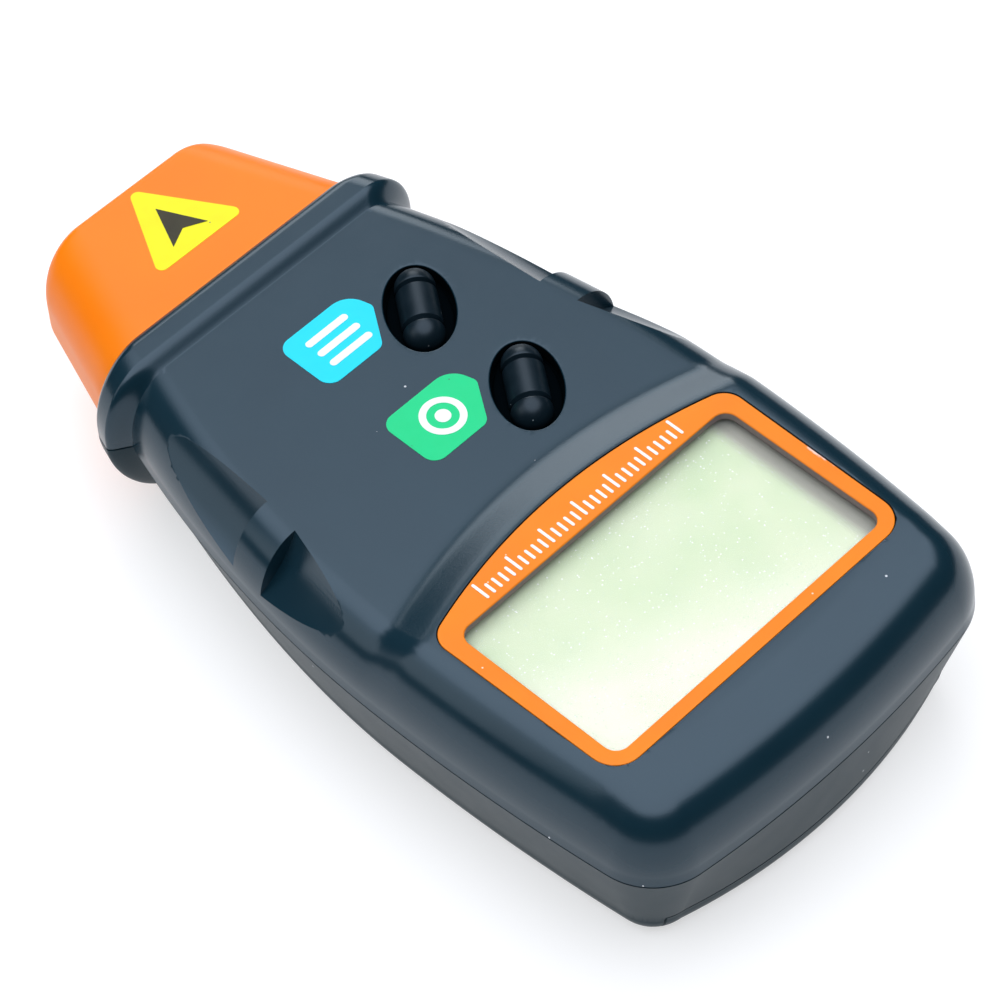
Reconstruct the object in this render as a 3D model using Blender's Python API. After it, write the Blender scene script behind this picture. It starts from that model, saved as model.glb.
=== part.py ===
"""Laser tachometer, a hand-held instrument.

It lies on its back with its face up: X runs across the instrument, Y runs from its tail to its
nose, Z runs from its back to its face, and the origin is under the middle of its back.
Every size below is in millimetres. The meshes are made in metres.
"""
import math

import bmesh
import bpy
from mathutils import Matrix, Vector

MM = 0.001

# A face bent by more than this angle is split into flat ones
FLAT_WITHIN = math.radians(0.05)

# Clearances, and how far a joined lump reaches into what it joins
FIT = 0.3
SEAM = 0.3
KEY_CLEARANCE = 0.3
ROOTED = 0.4

# Body: plan of the two shells
LENGTH = 131.0
TAIL_Y = -LENGTH / 2
NOSE_Y = LENGTH / 2
BODY_HALF_WIDTH = 35.0
WIDEST_Y = TAIL_Y + 47.5
NECK_HALF_WIDTH = 26.4
NECK_Y = NOSE_Y - 29.5
HIP_HALF_WIDTH = BODY_HALF_WIDTH - 1.7
HIP_Y = TAIL_Y + 14.5
TAIL_BOW_RADIUS = 176.0
TAIL_CORNER_RADIUS = 9.4

# Body: section of the two shells
WALL = 2.0
FACE_Z = 27.4
DISPLAY_Z = 29.0
TAIL_EDGE_Z = 28.2
PARTING_Z = 17.3
SHOULDER_START_Z = 18.6
SHOULDER_WIDTH = 6.8
UPPER_DRAFT = 0.15
SIDE_LEAN = 3.4
CORNER_LEAN = 2.5
TAIL_LEAN = 1.6
BACK_EDGE_RADIUS = 4.5
BACK_LIFT = 3.0
BACK_LIFT_START_Y = TAIL_Y + 49.5

# The step from the face up to the display, an arc across the face
RAMP_FOOT_Y = TAIL_Y + 50.5
RAMP_TOP_Y = RAMP_FOOT_Y - 5.2
RAMP_BOW = 4.6
DISPLAY_TAIL_Y = TAIL_Y + 13.9
DISPLAY_TAIL_BOW = 2.8

# Collar at the nose end of both shells
COLLAR_FRONT_Y = NOSE_Y - 21.5
COLLAR_LIP_Y = COLLAR_FRONT_Y - 2.2
COLLAR_CREST_Y = COLLAR_FRONT_Y - 4.4
COLLAR_BACK_Y = COLLAR_FRONT_Y - 7.6
COLLAR_RISE = 1.3
COLLAR_BURIED = 0.3
COLLAR_HALF_WIDTH = NECK_HALF_WIDTH + 2.2
COLLAR_WALL = 1.1
COLLAR_SIDE_WALL = 1.9
COLLAR_LOW_CORNER_Z = 9.5
COLLAR_FRONT_WALL = 2.0
COLLAR_BACK_WALL = 0.8
COLLAR_SPIGOT = 1.0

# Grip scoops in the shoulders, two a side with a rib between them
RIB_FRONT_Y = 11.0
RIB_BACK_Y = RIB_FRONT_Y - 6.0
SCOOP_FRONT_TIP_Y = COLLAR_BACK_Y - 5.4
SCOOP_BACK_TIP_Y = RAMP_FOOT_Y + 4.5
SCOOP_RADIUS = 13.3
SCOOP_INNER_FROM_EDGE = 7.2
SCOOP_OUTER_FROM_EDGE = 0.35
SCOOP_OUTER_Z = 20.4
SCOOP_DEPTH = 3.1
SCOOP_WALL = 1.6
SCOOP_OVERSHOOT = 0.25

# Nose cap
CAP_TOP_Z = 26.7
CAP_BOTTOM_Z = 8.3
CAP_ROOT_HALF_WIDTH = COLLAR_HALF_WIDTH - 4.0
CAP_TIP_HALF_WIDTH = CAP_ROOT_HALF_WIDTH - 7.7
CAP_TOP_EDGE = 8.0
CAP_LOW_EDGE = 6.8
CAP_FRONT_SIDE_EDGE = 3.2
CAP_FRONT_TOP_EDGE = 1.4
CAP_FRONT_LOW_EDGE = 3.6
CAP_LEAST_EDGE = 0.6
CAP_WALL = 2.0
CAP_FRONT_WALL = 3.1
CAP_FLANGE_RISE = 0.6
CAP_FLANGE_THICKNESS = 1.3
CAP_ROOT_Y = COLLAR_FRONT_Y - COLLAR_FRONT_WALL - FIT - CAP_FLANGE_THICKNESS

# Optics in the nose
OPTIC_AXIS_Z = 17.0
HOLDER_LENGTH = 15.0
HOLDER_HALF_WIDTH = 10.7
HOLDER_HALF_HEIGHT = 5.7
HOLDER_CORNER = 3.0
HOLDER_LENS_LEDGE = 0.6
LASER_X = -6.2
LASER_DIAMETER = 6.4
LASER_LENGTH = HOLDER_LENGTH
LASER_LENS_DIAMETER = 4.0
LASER_LENS_THICKNESS = 1.6
LASER_LENS_DOME = 0.6
SENSOR_X = 4.4
SENSOR_DIAMETER = 5.0
SENSOR_LENGTH = HOLDER_LENGTH - 8.0
COLLECTING_LENS_DIAMETER = 9.8
COLLECTING_LENS_THICKNESS = 3.0
COLLECTING_LENS_DOME = 1.6
WINDOW_SLOT_LENGTH = 21.0
WINDOW_SLOT_HEIGHT = 9.6
WINDOW_SLOT_ROUNDNESS = 0.99
WINDOW_RIM = 1.2
WINDOW_THICKNESS = 1.5
SENSOR_BOARD_THICKNESS = 1.2

# Display
WINDOW_WIDTH = 2 * BODY_HALF_WIDTH - 20.5
WINDOW_HEIGHT = 27.1
WINDOW_CENTRE_Y = TAIL_Y + 29.25
WINDOW_CORNER = 2.0
FRAME_TOP_HALF_WIDTH = WINDOW_WIDTH / 2 + 2.65
FRAME_TAIL_HALF_WIDTH = WINDOW_WIDTH / 2 + 2.25
FRAME_SIDE_Y = WINDOW_CENTRE_Y + WINDOW_HEIGHT / 2 + 2.8
FRAME_CROWN_Y = FRAME_SIDE_Y + 3.7
FRAME_TAIL_Y = WINDOW_CENTRE_Y - WINDOW_HEIGHT / 2 - 2.1
FRAME_TOP_CORNER = 3.2
FRAME_TAIL_CORNER = 4.0
FRAME_TOP_CORNER_SWEEP = math.radians(72.0)
FRAME_THICKNESS = 1.3
FRAME_BELOW_FACE = 0.1
LENS_THICKNESS = 0.9
LCD_WIDTH = WINDOW_WIDTH + 2.5
LCD_HEIGHT = WINDOW_HEIGHT + 2.5
LCD_THICKNESS = 2.0
LCD_LEDGE = 1.6
LCD_CORNER = 1.0
BRACKET_RIM = 1.0
ZEBRA_LENGTH = LCD_WIDTH - 6.0
ZEBRA_WIDTH = 2.0

# Circuit board
BOARD_TOP_Z = 22.4
BOARD_THICKNESS = 1.2
BOARD_TAIL_HALF_WIDTH = BODY_HALF_WIDTH - 8.8
BOARD_NECK_HALF_WIDTH = NECK_HALF_WIDTH - 6.0
BOARD_TONGUE_HALF_WIDTH = 11.0
BOARD_TAIL_Y = TAIL_Y + 10.5
BOARD_SHOULDER_Y = RAMP_FOOT_Y - 3.4
BOARD_NECK_Y = COLLAR_BACK_Y - 9.9
CHIP_SIZE = 12.0
CHIP_THICKNESS = 1.5
CHIP_Y = 2.0
CHIP_X = -8.0

# Keys
KEY_X = 11.2
KEY_UPPER_Y = COLLAR_BACK_Y - 16.8
KEY_PITCH = 19.8
KEY_TILT = math.radians(53.5)
KEY_OVAL_LENGTH = 15.4
KEY_OVAL_WIDTH = 9.7
KEY_GRIP_LENGTH = 12.8
KEY_GRIP_WIDTH = 5.7
KEY_CROWN_Z = 29.0
KEY_DECK_BELOW_FACE = 1.9
KEY_FLANGE_RIM = 1.0
KEY_FLANGE_THICKNESS = 0.8
KEY_GROOVE_FROM_MIDDLE = 3.0
KEY_GROOVE_WIDTH = 0.5
KEY_GROOVE_DEPTH = 0.45
KEY_TRAVEL = 0.7
KEY_NIB_DIAMETER = 3.0
KEY_TIP_START = 0.35
SWITCH_SIZE = 6.0
SWITCH_BODY_THICKNESS = 0.5
SWITCH_DOME_DIAMETER = 3.6

# Battery, its box in the rear shell and the sliding door
BATTERY_LENGTH = 46.4
BATTERY_DEPTH = 26.2
BATTERY_THICKNESS = 17.0
BATTERY_STUD_HEIGHT = 2.1
BATTERY_STUD_SPACING = 12.7
BATTERY_SMALL_STUD = 5.8
BATTERY_LARGE_STUD = 8.0
BATTERY_CENTRE_Y = TAIL_Y + 22.4
BATTERY_EDGE = 2.0
BOX_CEILING = 1.2
BOX_WALL = 1.4
BOX_INSET_IN_FRONT = 3.2
CONTACT_THICKNESS = 0.5
CONTACT_WIDTH = 5.0
CONTACT_FOOT_Z = 6.0
DOOR_HALF_WIDTH = BODY_HALF_WIDTH - 8.5
DOOR_FRONT_Y = TAIL_Y + 37.5
DOOR_THICKNESS = 2.0
DOOR_LIP_TOP_Z = 4.9
DOOR_LIP_INNER_Y = TAIL_Y + 7.5
DOOR_TONGUE_REACH = 0.7
DOOR_TONGUE_BOTTOM_Z = 1.2
DOOR_TONGUE_THICKNESS = 0.7
DOOR_RAIL_WIDTH = 2.6
DOOR_RAIL_TOP_Z = 4.0
DOOR_GRIP_COUNT = 5
DOOR_GRIP_PITCH = 2.2
DOOR_GRIP_DEPTH = 0.5
DOOR_GRIP_LENGTH = 18.0
DOOR_GRIP_Y = DOOR_FRONT_Y - 9.5

# Screws and their bosses
SCREW_STATIONS = {"nose": COLLAR_BACK_Y - 5.0, "middle": RAMP_FOOT_Y + 1.6}
SCREW_FROM_SIDE = 10.5
BOSS_DIAMETER = 6.4
SCREW_DIAMETER = 2.6
SCREW_HEAD_DIAMETER = 4.8
SCREW_HEAD_HEIGHT = 1.8
SCREW_SEAT_Z = 9.0
SCREW_REACH_IN_FRONT = 6.0
SCREW_SLOT_WIDTH = 0.8
SCREW_SLOT_DEPTH = 0.8
SCREW_CROSS_SHARE = 0.66
BOARD_SCREW_X = -17.5
BOARD_SCREW_STATIONS = {"front": COLLAR_BACK_Y - 24.4, "rear": RAMP_FOOT_Y + 6.0}
BOARD_SCREW_DIAMETER = 1.8
BOARD_SCREW_HEAD_DIAMETER = 3.8
BOARD_SCREW_HEAD_HEIGHT = 1.2
BOARD_POST_DIAMETER = 4.6

# How finely curves are cut into flats
SHOULDER_STEPS = 6
CORNER_STEPS = 6
COLLAR_STEPS = 5
FACE_COLUMNS = 8
BACK_COLUMNS = 4
ROUND_STEPS = 24
SMALL_ROUND_STEPS = 16
DOME_STEPS = 5
OVAL_STEPS = 28
SCOOP_STEPS = 40
CAP_FRONT_STEPS = 6
SLOT_END_STEPS = 6
FRAME_CORNER_STEPS = 5
FRAME_ARC_STEPS = 10
KEY_END_STEPS = 4
KEY_BAR_STEPS = 10
FACE_STATIONS = 10
DISPLAY_STATIONS = 4

COLOURS = {
    "slate_plastic": ((0.045, 0.062, 0.078), 0.55, 0.0),
    "orange_plastic": ((0.87, 0.15, 0.02), 0.32, 0.0),
    "orange_frame": ((0.85, 0.17, 0.03), 0.45, 0.0),
    "clear_plastic": ((0.80, 0.85, 0.82), 0.08, 0.0),
    "display_glass": ((0.62, 0.70, 0.52), 0.25, 0.0),
    "black_gloss": ((0.008, 0.009, 0.011), 0.15, 0.0),
    "black_plastic": ((0.015, 0.015, 0.016), 0.45, 0.0),
    "white_plastic": ((0.80, 0.80, 0.78), 0.45, 0.0),
    "board_green": ((0.02, 0.16, 0.06), 0.40, 0.0),
    "grey_rubber": ((0.22, 0.22, 0.23), 0.70, 0.0),
    "brass": ((0.75, 0.52, 0.20), 0.30, 1.0),
    "steel": ((0.62, 0.62, 0.63), 0.30, 1.0),
    "lens_glass": ((0.85, 0.88, 0.90), 0.02, 0.0),
    "battery_jacket": ((0.10, 0.10, 0.11), 0.35, 0.0),
}


# Meshes, solids and cuts

def clear_scene():
    for old in list(bpy.data.objects):
        bpy.data.objects.remove(old, do_unlink=True)


def material(name):
    """One plain material for each finish."""
    found = bpy.data.materials.get(name)
    if found:
        return found
    colour, roughness, metallic = COLOURS[name]
    made = bpy.data.materials.new(name)
    made.use_nodes = True
    shader = made.node_tree.nodes["Principled BSDF"]
    shader.inputs["Base Color"].default_value = (*colour, 1.0)
    shader.inputs["Roughness"].default_value = roughness
    shader.inputs["Metallic"].default_value = metallic
    made.diffuse_color = (*colour, 1.0)
    return made


def solid(name, points, faces):
    """A closed mesh object from points in millimetres, with its faces flat and turned outwards."""
    mesh = bpy.data.meshes.new(name)
    mesh.from_pydata([[c * MM for c in p] for p in points], [], faces)
    shape = bmesh.new()
    shape.from_mesh(mesh)
    bmesh.ops.connect_verts_nonplanar(shape, angle_limit=FLAT_WITHIN, faces=shape.faces)
    bmesh.ops.recalc_face_normals(shape, faces=shape.faces)
    shape.to_mesh(mesh)
    shape.free()
    made = bpy.data.objects.new(name, mesh)
    bpy.context.scene.collection.objects.link(made)
    return made


def finish(body, finish_name, sharp_degrees=35.0):
    """Gives a piece its material and smooth shading that breaks at its edges."""
    body.data.materials.clear()
    body.data.materials.append(material(finish_name))
    body.data.shade_smooth()
    body.data.set_sharp_from_angle(angle=math.radians(sharp_degrees))
    return body


def combine(body, other, how):
    """Joins, cuts or intersects one solid with another and deletes the other."""
    step = body.modifiers.new(how.lower(), "BOOLEAN")
    step.operation = how
    step.solver = "EXACT"
    step.object = other
    bpy.context.view_layer.update()
    evaluated = body.evaluated_get(bpy.context.evaluated_depsgraph_get())
    result = bpy.data.meshes.new_from_object(evaluated)
    body.modifiers.clear()
    body.data = result
    bpy.data.objects.remove(other, do_unlink=True)
    return body


def join(body, *others):
    for other in others:
        combine(body, other, "UNION")
    return body


def cut(body, *others):
    for other in others:
        combine(body, other, "DIFFERENCE")
    return body


def keep_inside(body, other):
    return combine(body, other, "INTERSECT")


def stack(name, rings):
    """A closed solid through rings of equally many points, with a flat face at each end."""
    count = len(rings[0])
    points = [p for ring in rings for p in ring]
    faces = []
    for low in range(0, count * (len(rings) - 1), count):
        high = low + count
        for i in range(count):
            j = (i + 1) % count
            faces.append((low + i, low + j, high + j, high + i))
    faces.append(tuple(range(count)))
    faces.append(tuple(range((len(rings) - 1) * count, len(rings) * count)))
    return solid(name, points, faces)


def prism(name, outline, low_z, high_z):
    """An upright prism on a plan outline."""
    return stack(name, [[(x, y, z) for x, y in outline] for z in (low_z, high_z)])


def box(name, low, high):
    outline = [(low[0], low[1]), (high[0], low[1]), (high[0], high[1]), (low[0], high[1])]
    return prism(name, outline, low[2], high[2])


def bar_along_y(name, outline, low_y, high_y):
    """A straight bar along Y on an outline in X and Z."""
    return stack(name, [[(x, y, z) for x, z in outline] for y in (low_y, high_y)])


def bar_along_x(name, outline, low_x, high_x):
    """A straight bar along X on an outline in Y and Z."""
    return stack(name, [[(x, y, z) for y, z in outline] for x in (low_x, high_x)])


def circle(centre_a, centre_b, diameter, steps=ROUND_STEPS):
    turns = [2 * math.pi * i / steps for i in range(steps)]
    radius = diameter / 2
    return [(centre_a + radius * math.cos(t), centre_b + radius * math.sin(t)) for t in turns]


def upright_round(name, x, y, diameter, low_z, high_z, steps=ROUND_STEPS):
    return prism(name, circle(x, y, diameter, steps), low_z, high_z)


def turned_along_y(name, x, profile, steps=ROUND_STEPS):
    """A turned solid about a line along Y at the height of the optics, from (y, radius) pairs."""
    return stack(name, [
        [(a, y, b) for a, b in circle(x, OPTIC_AXIS_Z, 2 * radius, steps)] for y, radius in profile
    ])


def domed_round(name, x, back_y, front_y, diameter, dome, steps=ROUND_STEPS):
    """A round piece on a line along Y, with a flat back and a domed front."""
    profile = [(back_y, diameter / 2)]
    for i in range(DOME_STEPS):
        angle = math.pi / 2 * i / DOME_STEPS
        profile.append((front_y - dome * (1 - math.sin(angle)), diameter / 2 * math.cos(angle)))
    return turned_along_y(name, x, profile, steps)


def rounded_rectangle(centre_x, centre_y, width, height, radius, steps=4):
    """Plan outline of a rectangle with round corners."""
    outline = []
    for quarter, (sx, sy) in enumerate(((1, 1), (-1, 1), (-1, -1), (1, -1))):
        for i in range(steps + 1):
            angle = math.pi / 2 * (quarter + i / steps)
            outline.append((
                centre_x + sx * (width / 2 - radius) + radius * math.cos(angle),
                centre_y + sy * (height / 2 - radius) + radius * math.sin(angle),
            ))
    return outline


def oval(centre_x, centre_y, length, width, tilt):
    """Plan outline of an oval whose long axis is tilted from X."""
    outline = []
    for i in range(OVAL_STEPS):
        angle = 2 * math.pi * i / OVAL_STEPS
        along = length / 2 * math.cos(angle)
        across = width / 2 * math.sin(angle)
        outline.append((
            centre_x + along * math.cos(tilt) - across * math.sin(tilt),
            centre_y + along * math.sin(tilt) + across * math.cos(tilt),
        ))
    return outline


def smooth(t):
    """Eases from 0 to 1."""
    t = min(max(t, 0.0), 1.0)
    return t * t * (3 - 2 * t)


def blend(t, start, end):
    t = min(max(t, 0.0), 1.0)
    return start + (end - start) * t


def set_origin(body, x, y, z):
    """Puts a moving piece's origin at a point and leaves the piece where it is."""
    place = Vector((x, y, z)) * MM
    body.data.transform(Matrix.Translation(-place))
    body.location = place


# Outline and section of the body

def side_curve(y):
    """How far the side has drawn in at a station, and how steeply, on one of two parabolas."""
    if y > WIDEST_Y:
        draw, run = BODY_HALF_WIDTH - NECK_HALF_WIDTH, NECK_Y - WIDEST_Y
    else:
        draw, run = BODY_HALF_WIDTH - HIP_HALF_WIDTH, HIP_Y - WIDEST_Y
    share = (y - WIDEST_Y) / run
    return draw * share * share, 2 * draw * share / run


def half_width(y):
    return BODY_HALF_WIDTH - side_curve(y)[0]


def side_normal(y):
    return Vector((1.0, side_curve(y)[1])).normalized()


def tail_line(x):
    return TAIL_Y + x * x / (2 * TAIL_BOW_RADIUS)


def tail_normal(x):
    return Vector((x / TAIL_BOW_RADIUS, -1.0)).normalized()


def tail_corner():
    """Centre of the tail's round corner, and where it meets the side and the tail."""
    side_y = HIP_Y
    tail_x = HIP_HALF_WIDTH - TAIL_CORNER_RADIUS
    for _ in range(60):
        from_side = Vector((half_width(side_y), side_y)) - side_normal(side_y) * TAIL_CORNER_RADIUS
        from_tail = Vector((tail_x, tail_line(tail_x))) - tail_normal(tail_x) * TAIL_CORNER_RADIUS
        side_y += from_tail.y - from_side.y
        tail_x += from_side.x - from_tail.x
    return from_side, side_y, tail_x


CORNER_CENTRE, CORNER_SIDE_Y, CORNER_TAIL_X = tail_corner()


def side_stations():
    """Stations down the side: the face's, the ramp's two and the display's."""
    first = COLLAR_FRONT_Y - COLLAR_SPIGOT
    face = [blend(i / FACE_STATIONS, first, RAMP_FOOT_Y) for i in range(FACE_STATIONS + 1)]
    display = [blend(i / DISPLAY_STATIONS, RAMP_TOP_Y, DISPLAY_TAIL_Y) for i in range(DISPLAY_STATIONS + 1)]
    return face + display


SIDE_STATIONS = side_stations()


def plan_line(inset, nose_y, columns, lean=0.0):
    """The body's outline from the nose end round the tail and back, moved in by an inset.

    The lean is the share of the lower walls' own slope: most along the sides, least at the
    middle of the tail.
    """
    right = []
    for y in SIDE_STATIONS:
        if y < CORNER_SIDE_Y:
            continue
        station = min(y, nose_y)
        normal = side_normal(station)
        place = Vector((half_width(station), station)) - normal * (inset + lean * SIDE_LEAN)
        right.append((place.x, station if y == SIDE_STATIONS[0] else place.y))
    first = side_normal(CORNER_SIDE_Y)
    last = tail_normal(CORNER_TAIL_X)
    start = math.atan2(first.y, first.x)
    end = math.atan2(last.y, last.x)
    for i in range(CORNER_STEPS + 1):
        angle = start + (end - start) * i / CORNER_STEPS
        reach = TAIL_CORNER_RADIUS - inset - lean * blend(i / CORNER_STEPS, SIDE_LEAN, CORNER_LEAN)
        right.append((CORNER_CENTRE.x + reach * math.cos(angle), CORNER_CENTRE.y + reach * math.sin(angle)))
    middle = []
    for i in range(1, columns):
        share = 1 - 2 * i / columns
        x = CORNER_TAIL_X * share
        draw = inset + lean * blend(share * share, TAIL_LEAN, CORNER_LEAN)
        place = Vector((x, tail_line(x))) - tail_normal(x) * draw
        middle.append((place.x, place.y))
    left = [(-x, y) for x, y in reversed(right)]
    return right + middle + left, len(right)


def lean_share(z):
    """How much of the lower walls' slope there is at a height: none above the parting line."""
    return min(max((PARTING_Z - z) / (PARTING_Z - BACK_EDGE_RADIUS), 0.0), 1.0)


def back_height(y):
    """Height of the back, which lifts a little towards the nose."""
    return BACK_LIFT * smooth((y - BACK_LIFT_START_Y) / (NECK_Y - BACK_LIFT_START_Y))


def lifted(y, z):
    """A height in the lower shell once its back is lifted: all of the lift at the back, none of
    it at the parting line."""
    return z + back_height(y) * max(1 - z / PARTING_Z, 0.0)


def shell_block(name, levels, nose_y, top_of, bow_of=None, columns=BACK_COLUMNS):
    """A slab with the body's outline.

    levels holds (inset, share, z) for each ring. A ring's height is z where share is zero, and
    goes to top_of(y) as share goes to one. The last ring is closed by rungs across the
    slab, bent along Y by bow_of(y), so an arc can cross the face.
    """
    last_inset, _, last_z = levels[-1]
    last_ring, side_count = plan_line(last_inset, nose_y, columns, lean_share(last_z))
    tops = [top_of(y) for _, y in last_ring]
    points = []
    for inset, share, z in levels:
        line, _ = plan_line(inset, nose_y, columns, lean_share(z))
        points += [(x, y, lifted(y, z + (top - z) * share)) for (x, y), top in zip(line, tops)]
    count = len(last_ring)
    faces = []
    for k in range(len(levels) - 1):
        for i in range(count - 1):
            a = k * count + i
            faces.append((a, a + 1, a + 1 + count, a + count))
    top_start = (len(levels) - 1) * count
    rungs = []
    for i in range(side_count - 1):
        x_end, y_end = last_ring[i]
        rung = [top_start + i]
        bow = bow_of(y_end) if bow_of else 0.0
        for j in range(1, columns):
            t = 1 - 2 * j / columns
            points.append((x_end * t, y_end + bow * (1 - t * t), lifted(y_end, tops[i])))
            rung.append(len(points) - 1)
        rung.append(top_start + count - 1 - i)
        rungs.append(rung)
    rungs.append([top_start + side_count - 1 + j for j in range(columns + 1)])
    for upper, lower in zip(rungs, rungs[1:]):
        for j in range(columns):
            faces.append((upper[j], lower[j], lower[j + 1], upper[j + 1]))
    faces.append(tuple(range(count)))
    right_edge = [k * count for k in range(len(levels))]
    left_edge = [k * count + count - 1 for k in range(len(levels))]
    faces.append(tuple(right_edge + rungs[0][1:-1] + left_edge[::-1]))
    return solid(name, points, faces)


def face_height(y):
    """Height of the face at a rung: the plain face, the ramp, the display, the tail's fall."""
    if y > DISPLAY_TAIL_Y:
        return blend((RAMP_FOOT_Y - y) / (RAMP_FOOT_Y - RAMP_TOP_Y), FACE_Z, DISPLAY_Z)
    last = TAIL_Y + SHOULDER_WIDTH
    return blend((DISPLAY_TAIL_Y - y) / (DISPLAY_TAIL_Y - last), DISPLAY_Z, TAIL_EDGE_Z)


def face_bow(y):
    """How far a rung across the face bends along Y at the middle of the face."""
    last = TAIL_Y + SHOULDER_WIDTH
    if y > RAMP_FOOT_Y:
        return blend((y - RAMP_FOOT_Y) / (NECK_Y - RAMP_FOOT_Y), RAMP_BOW, 0.0)
    if y > RAMP_TOP_Y:
        return RAMP_BOW
    if y > DISPLAY_TAIL_Y:
        return blend((RAMP_TOP_Y - y) / (RAMP_TOP_Y - DISPLAY_TAIL_Y), RAMP_BOW, -DISPLAY_TAIL_BOW)
    return blend((DISPLAY_TAIL_Y - y) / (DISPLAY_TAIL_Y - last), -DISPLAY_TAIL_BOW, 0.0)


def shoulder_levels(inset, width, low_z, start_z):
    """Rings up the side wall and over the round shoulder."""
    levels = [(inset, 0.0, low_z), (inset + UPPER_DRAFT, 0.0, start_z)]
    for i in range(1, SHOULDER_STEPS + 1):
        angle = math.pi / 2 * i / SHOULDER_STEPS
        levels.append((inset + UPPER_DRAFT + width * (1 - math.cos(angle)), math.sin(angle), start_z))
    return levels


def back_levels(inset, radius, high_z, edge_z):
    """Rings down the lower side wall and round the edge of the back."""
    levels = [(inset, 0.0, high_z), (inset, 0.0, edge_z)]
    for i in range(1, SHOULDER_STEPS + 1):
        angle = math.pi / 2 * i / SHOULDER_STEPS
        levels.append((inset + radius * (1 - math.cos(angle)), math.sin(angle), edge_z))
    return levels


def upper_body(name, inset=0.0):
    """The outside of the front shell, or its inside where the inset is a wall."""
    if inset == 0.0:
        low = PARTING_Z + SEAM / 2
        levels = shoulder_levels(0.0, SHOULDER_WIDTH, low, SHOULDER_START_Z)
        return shell_block(name, levels, SIDE_STATIONS[0], face_height, face_bow, FACE_COLUMNS)
    low = PARTING_Z - inset
    levels = shoulder_levels(inset, SHOULDER_WIDTH - inset, low, SHOULDER_START_Z)
    return shell_block(name, levels, COLLAR_CREST_Y, lambda y: FACE_Z - inset)


def lower_body(name, inset=0.0):
    """The outside of the rear shell, or its inside where the inset is a wall."""
    if inset == 0.0:
        high = PARTING_Z - SEAM / 2
        levels = back_levels(0.0, BACK_EDGE_RADIUS, high, BACK_EDGE_RADIUS)
        return shell_block(name, levels, SIDE_STATIONS[0], lambda y: 0.0)
    high = PARTING_Z + inset
    levels = back_levels(inset, BACK_EDGE_RADIUS - inset, high, BACK_EDGE_RADIUS)
    return shell_block(name, levels, COLLAR_CREST_Y, lambda y: inset)


# Collar

def collar_rise(y):
    """How far the collar stands proud of the body at a station."""
    if y < COLLAR_CREST_Y:
        t = smooth((y - COLLAR_BACK_Y) / (COLLAR_CREST_Y - COLLAR_BACK_Y))
        return -COLLAR_BURIED + (COLLAR_RISE + COLLAR_BURIED) * t
    if y < COLLAR_LIP_Y:
        return COLLAR_RISE
    radius = COLLAR_FRONT_Y - COLLAR_LIP_Y
    return COLLAR_RISE - radius * (1 - math.sqrt(max(0.0, 1 - ((y - COLLAR_LIP_Y) / radius) ** 2)))


def collar_stations():
    shares = [i / COLLAR_STEPS for i in range(COLLAR_STEPS + 1)]
    back = [blend(t, COLLAR_BACK_Y, COLLAR_CREST_Y) for t in shares]
    lip = [blend(math.sin(math.pi / 2 * t), COLLAR_LIP_Y, COLLAR_FRONT_Y) for t in shares]
    return back + lip


def half_section(half, start_z, top_z, corner, parting_z, lean=0.0):
    """Half of a section across the body, from the parting line over the top or under the back."""
    line = [(half, parting_z), (half - lean, start_z)]
    for i in range(1, SHOULDER_STEPS + 1):
        angle = math.pi / 2 * i / SHOULDER_STEPS
        x = half - lean - corner * (1 - math.cos(angle))
        line.append((x, blend(math.sin(angle), start_z, top_z)))
    return line + [(-x, z) for x, z in reversed(line)]


def collar_ring(y, half, rise, up, parting):
    """One section of the collar's upper or lower half, standing proud of the body by a rise."""
    start = SHOULDER_START_Z if up else COLLAR_LOW_CORNER_Z
    top = FACE_Z + rise if up else BACK_LIFT - rise
    lean = 0.0 if up else SIDE_LEAN
    return [(x, y, z) for x, z in half_section(half, start, top, SHOULDER_WIDTH + rise, parting, lean)]


def collar_half(name, up):
    """The upper or the lower half of the collar."""
    crest = (COLLAR_HALF_WIDTH - half_width(COLLAR_CREST_Y)) / COLLAR_RISE
    parting = PARTING_Z + (SEAM / 2 if up else -SEAM / 2)
    rings = []
    for y in collar_stations():
        rise = collar_rise(y)
        rings.append(collar_ring(y, half_width(y) + crest * rise, rise, up, parting))
    return stack(name, rings)


def collar_room(up):
    """The room inside half of the collar, for the cap's flange."""
    parting = PARTING_Z + (-COLLAR_WALL if up else COLLAR_WALL)
    half = COLLAR_HALF_WIDTH - COLLAR_SIDE_WALL
    return stack("collar_room", [
        collar_ring(y, half, COLLAR_RISE - COLLAR_WALL, up, parting)
        for y in (COLLAR_CREST_Y - COLLAR_BACK_WALL, COLLAR_FRONT_Y - COLLAR_FRONT_WALL)
    ])


# Nose cap

def cap_half_width(y):
    """The cap's half-width: straight in the collar, then narrowing evenly to the tip."""
    share = max((y - COLLAR_FRONT_Y) / (NOSE_Y - COLLAR_FRONT_Y), 0.0)
    return CAP_ROOT_HALF_WIDTH + (CAP_TIP_HALF_WIDTH - CAP_ROOT_HALF_WIDTH) * share


def turned_in(y, front_y, radius):
    """How far a surface has turned in at a station, on a round edge that ends at the front."""
    share = (y - front_y) / radius + 1
    return radius * (1 - math.sqrt(1 - share * share)) if share > 0 else 0.0


def cap_section(half, low_z, top_z, moved_in):
    """The cap's section across X, with rounder corners at its top than at its bottom."""
    top_edge = max(CAP_TOP_EDGE - moved_in, CAP_LEAST_EDGE)
    low_edge = max(CAP_LOW_EDGE - moved_in, CAP_LEAST_EDGE)
    top = half_section(half, top_z - top_edge, top_z, top_edge, OPTIC_AXIS_Z)
    low = half_section(half, low_z + low_edge, low_z, low_edge, OPTIC_AXIS_Z)
    return top + low[-2:0:-1]


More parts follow.
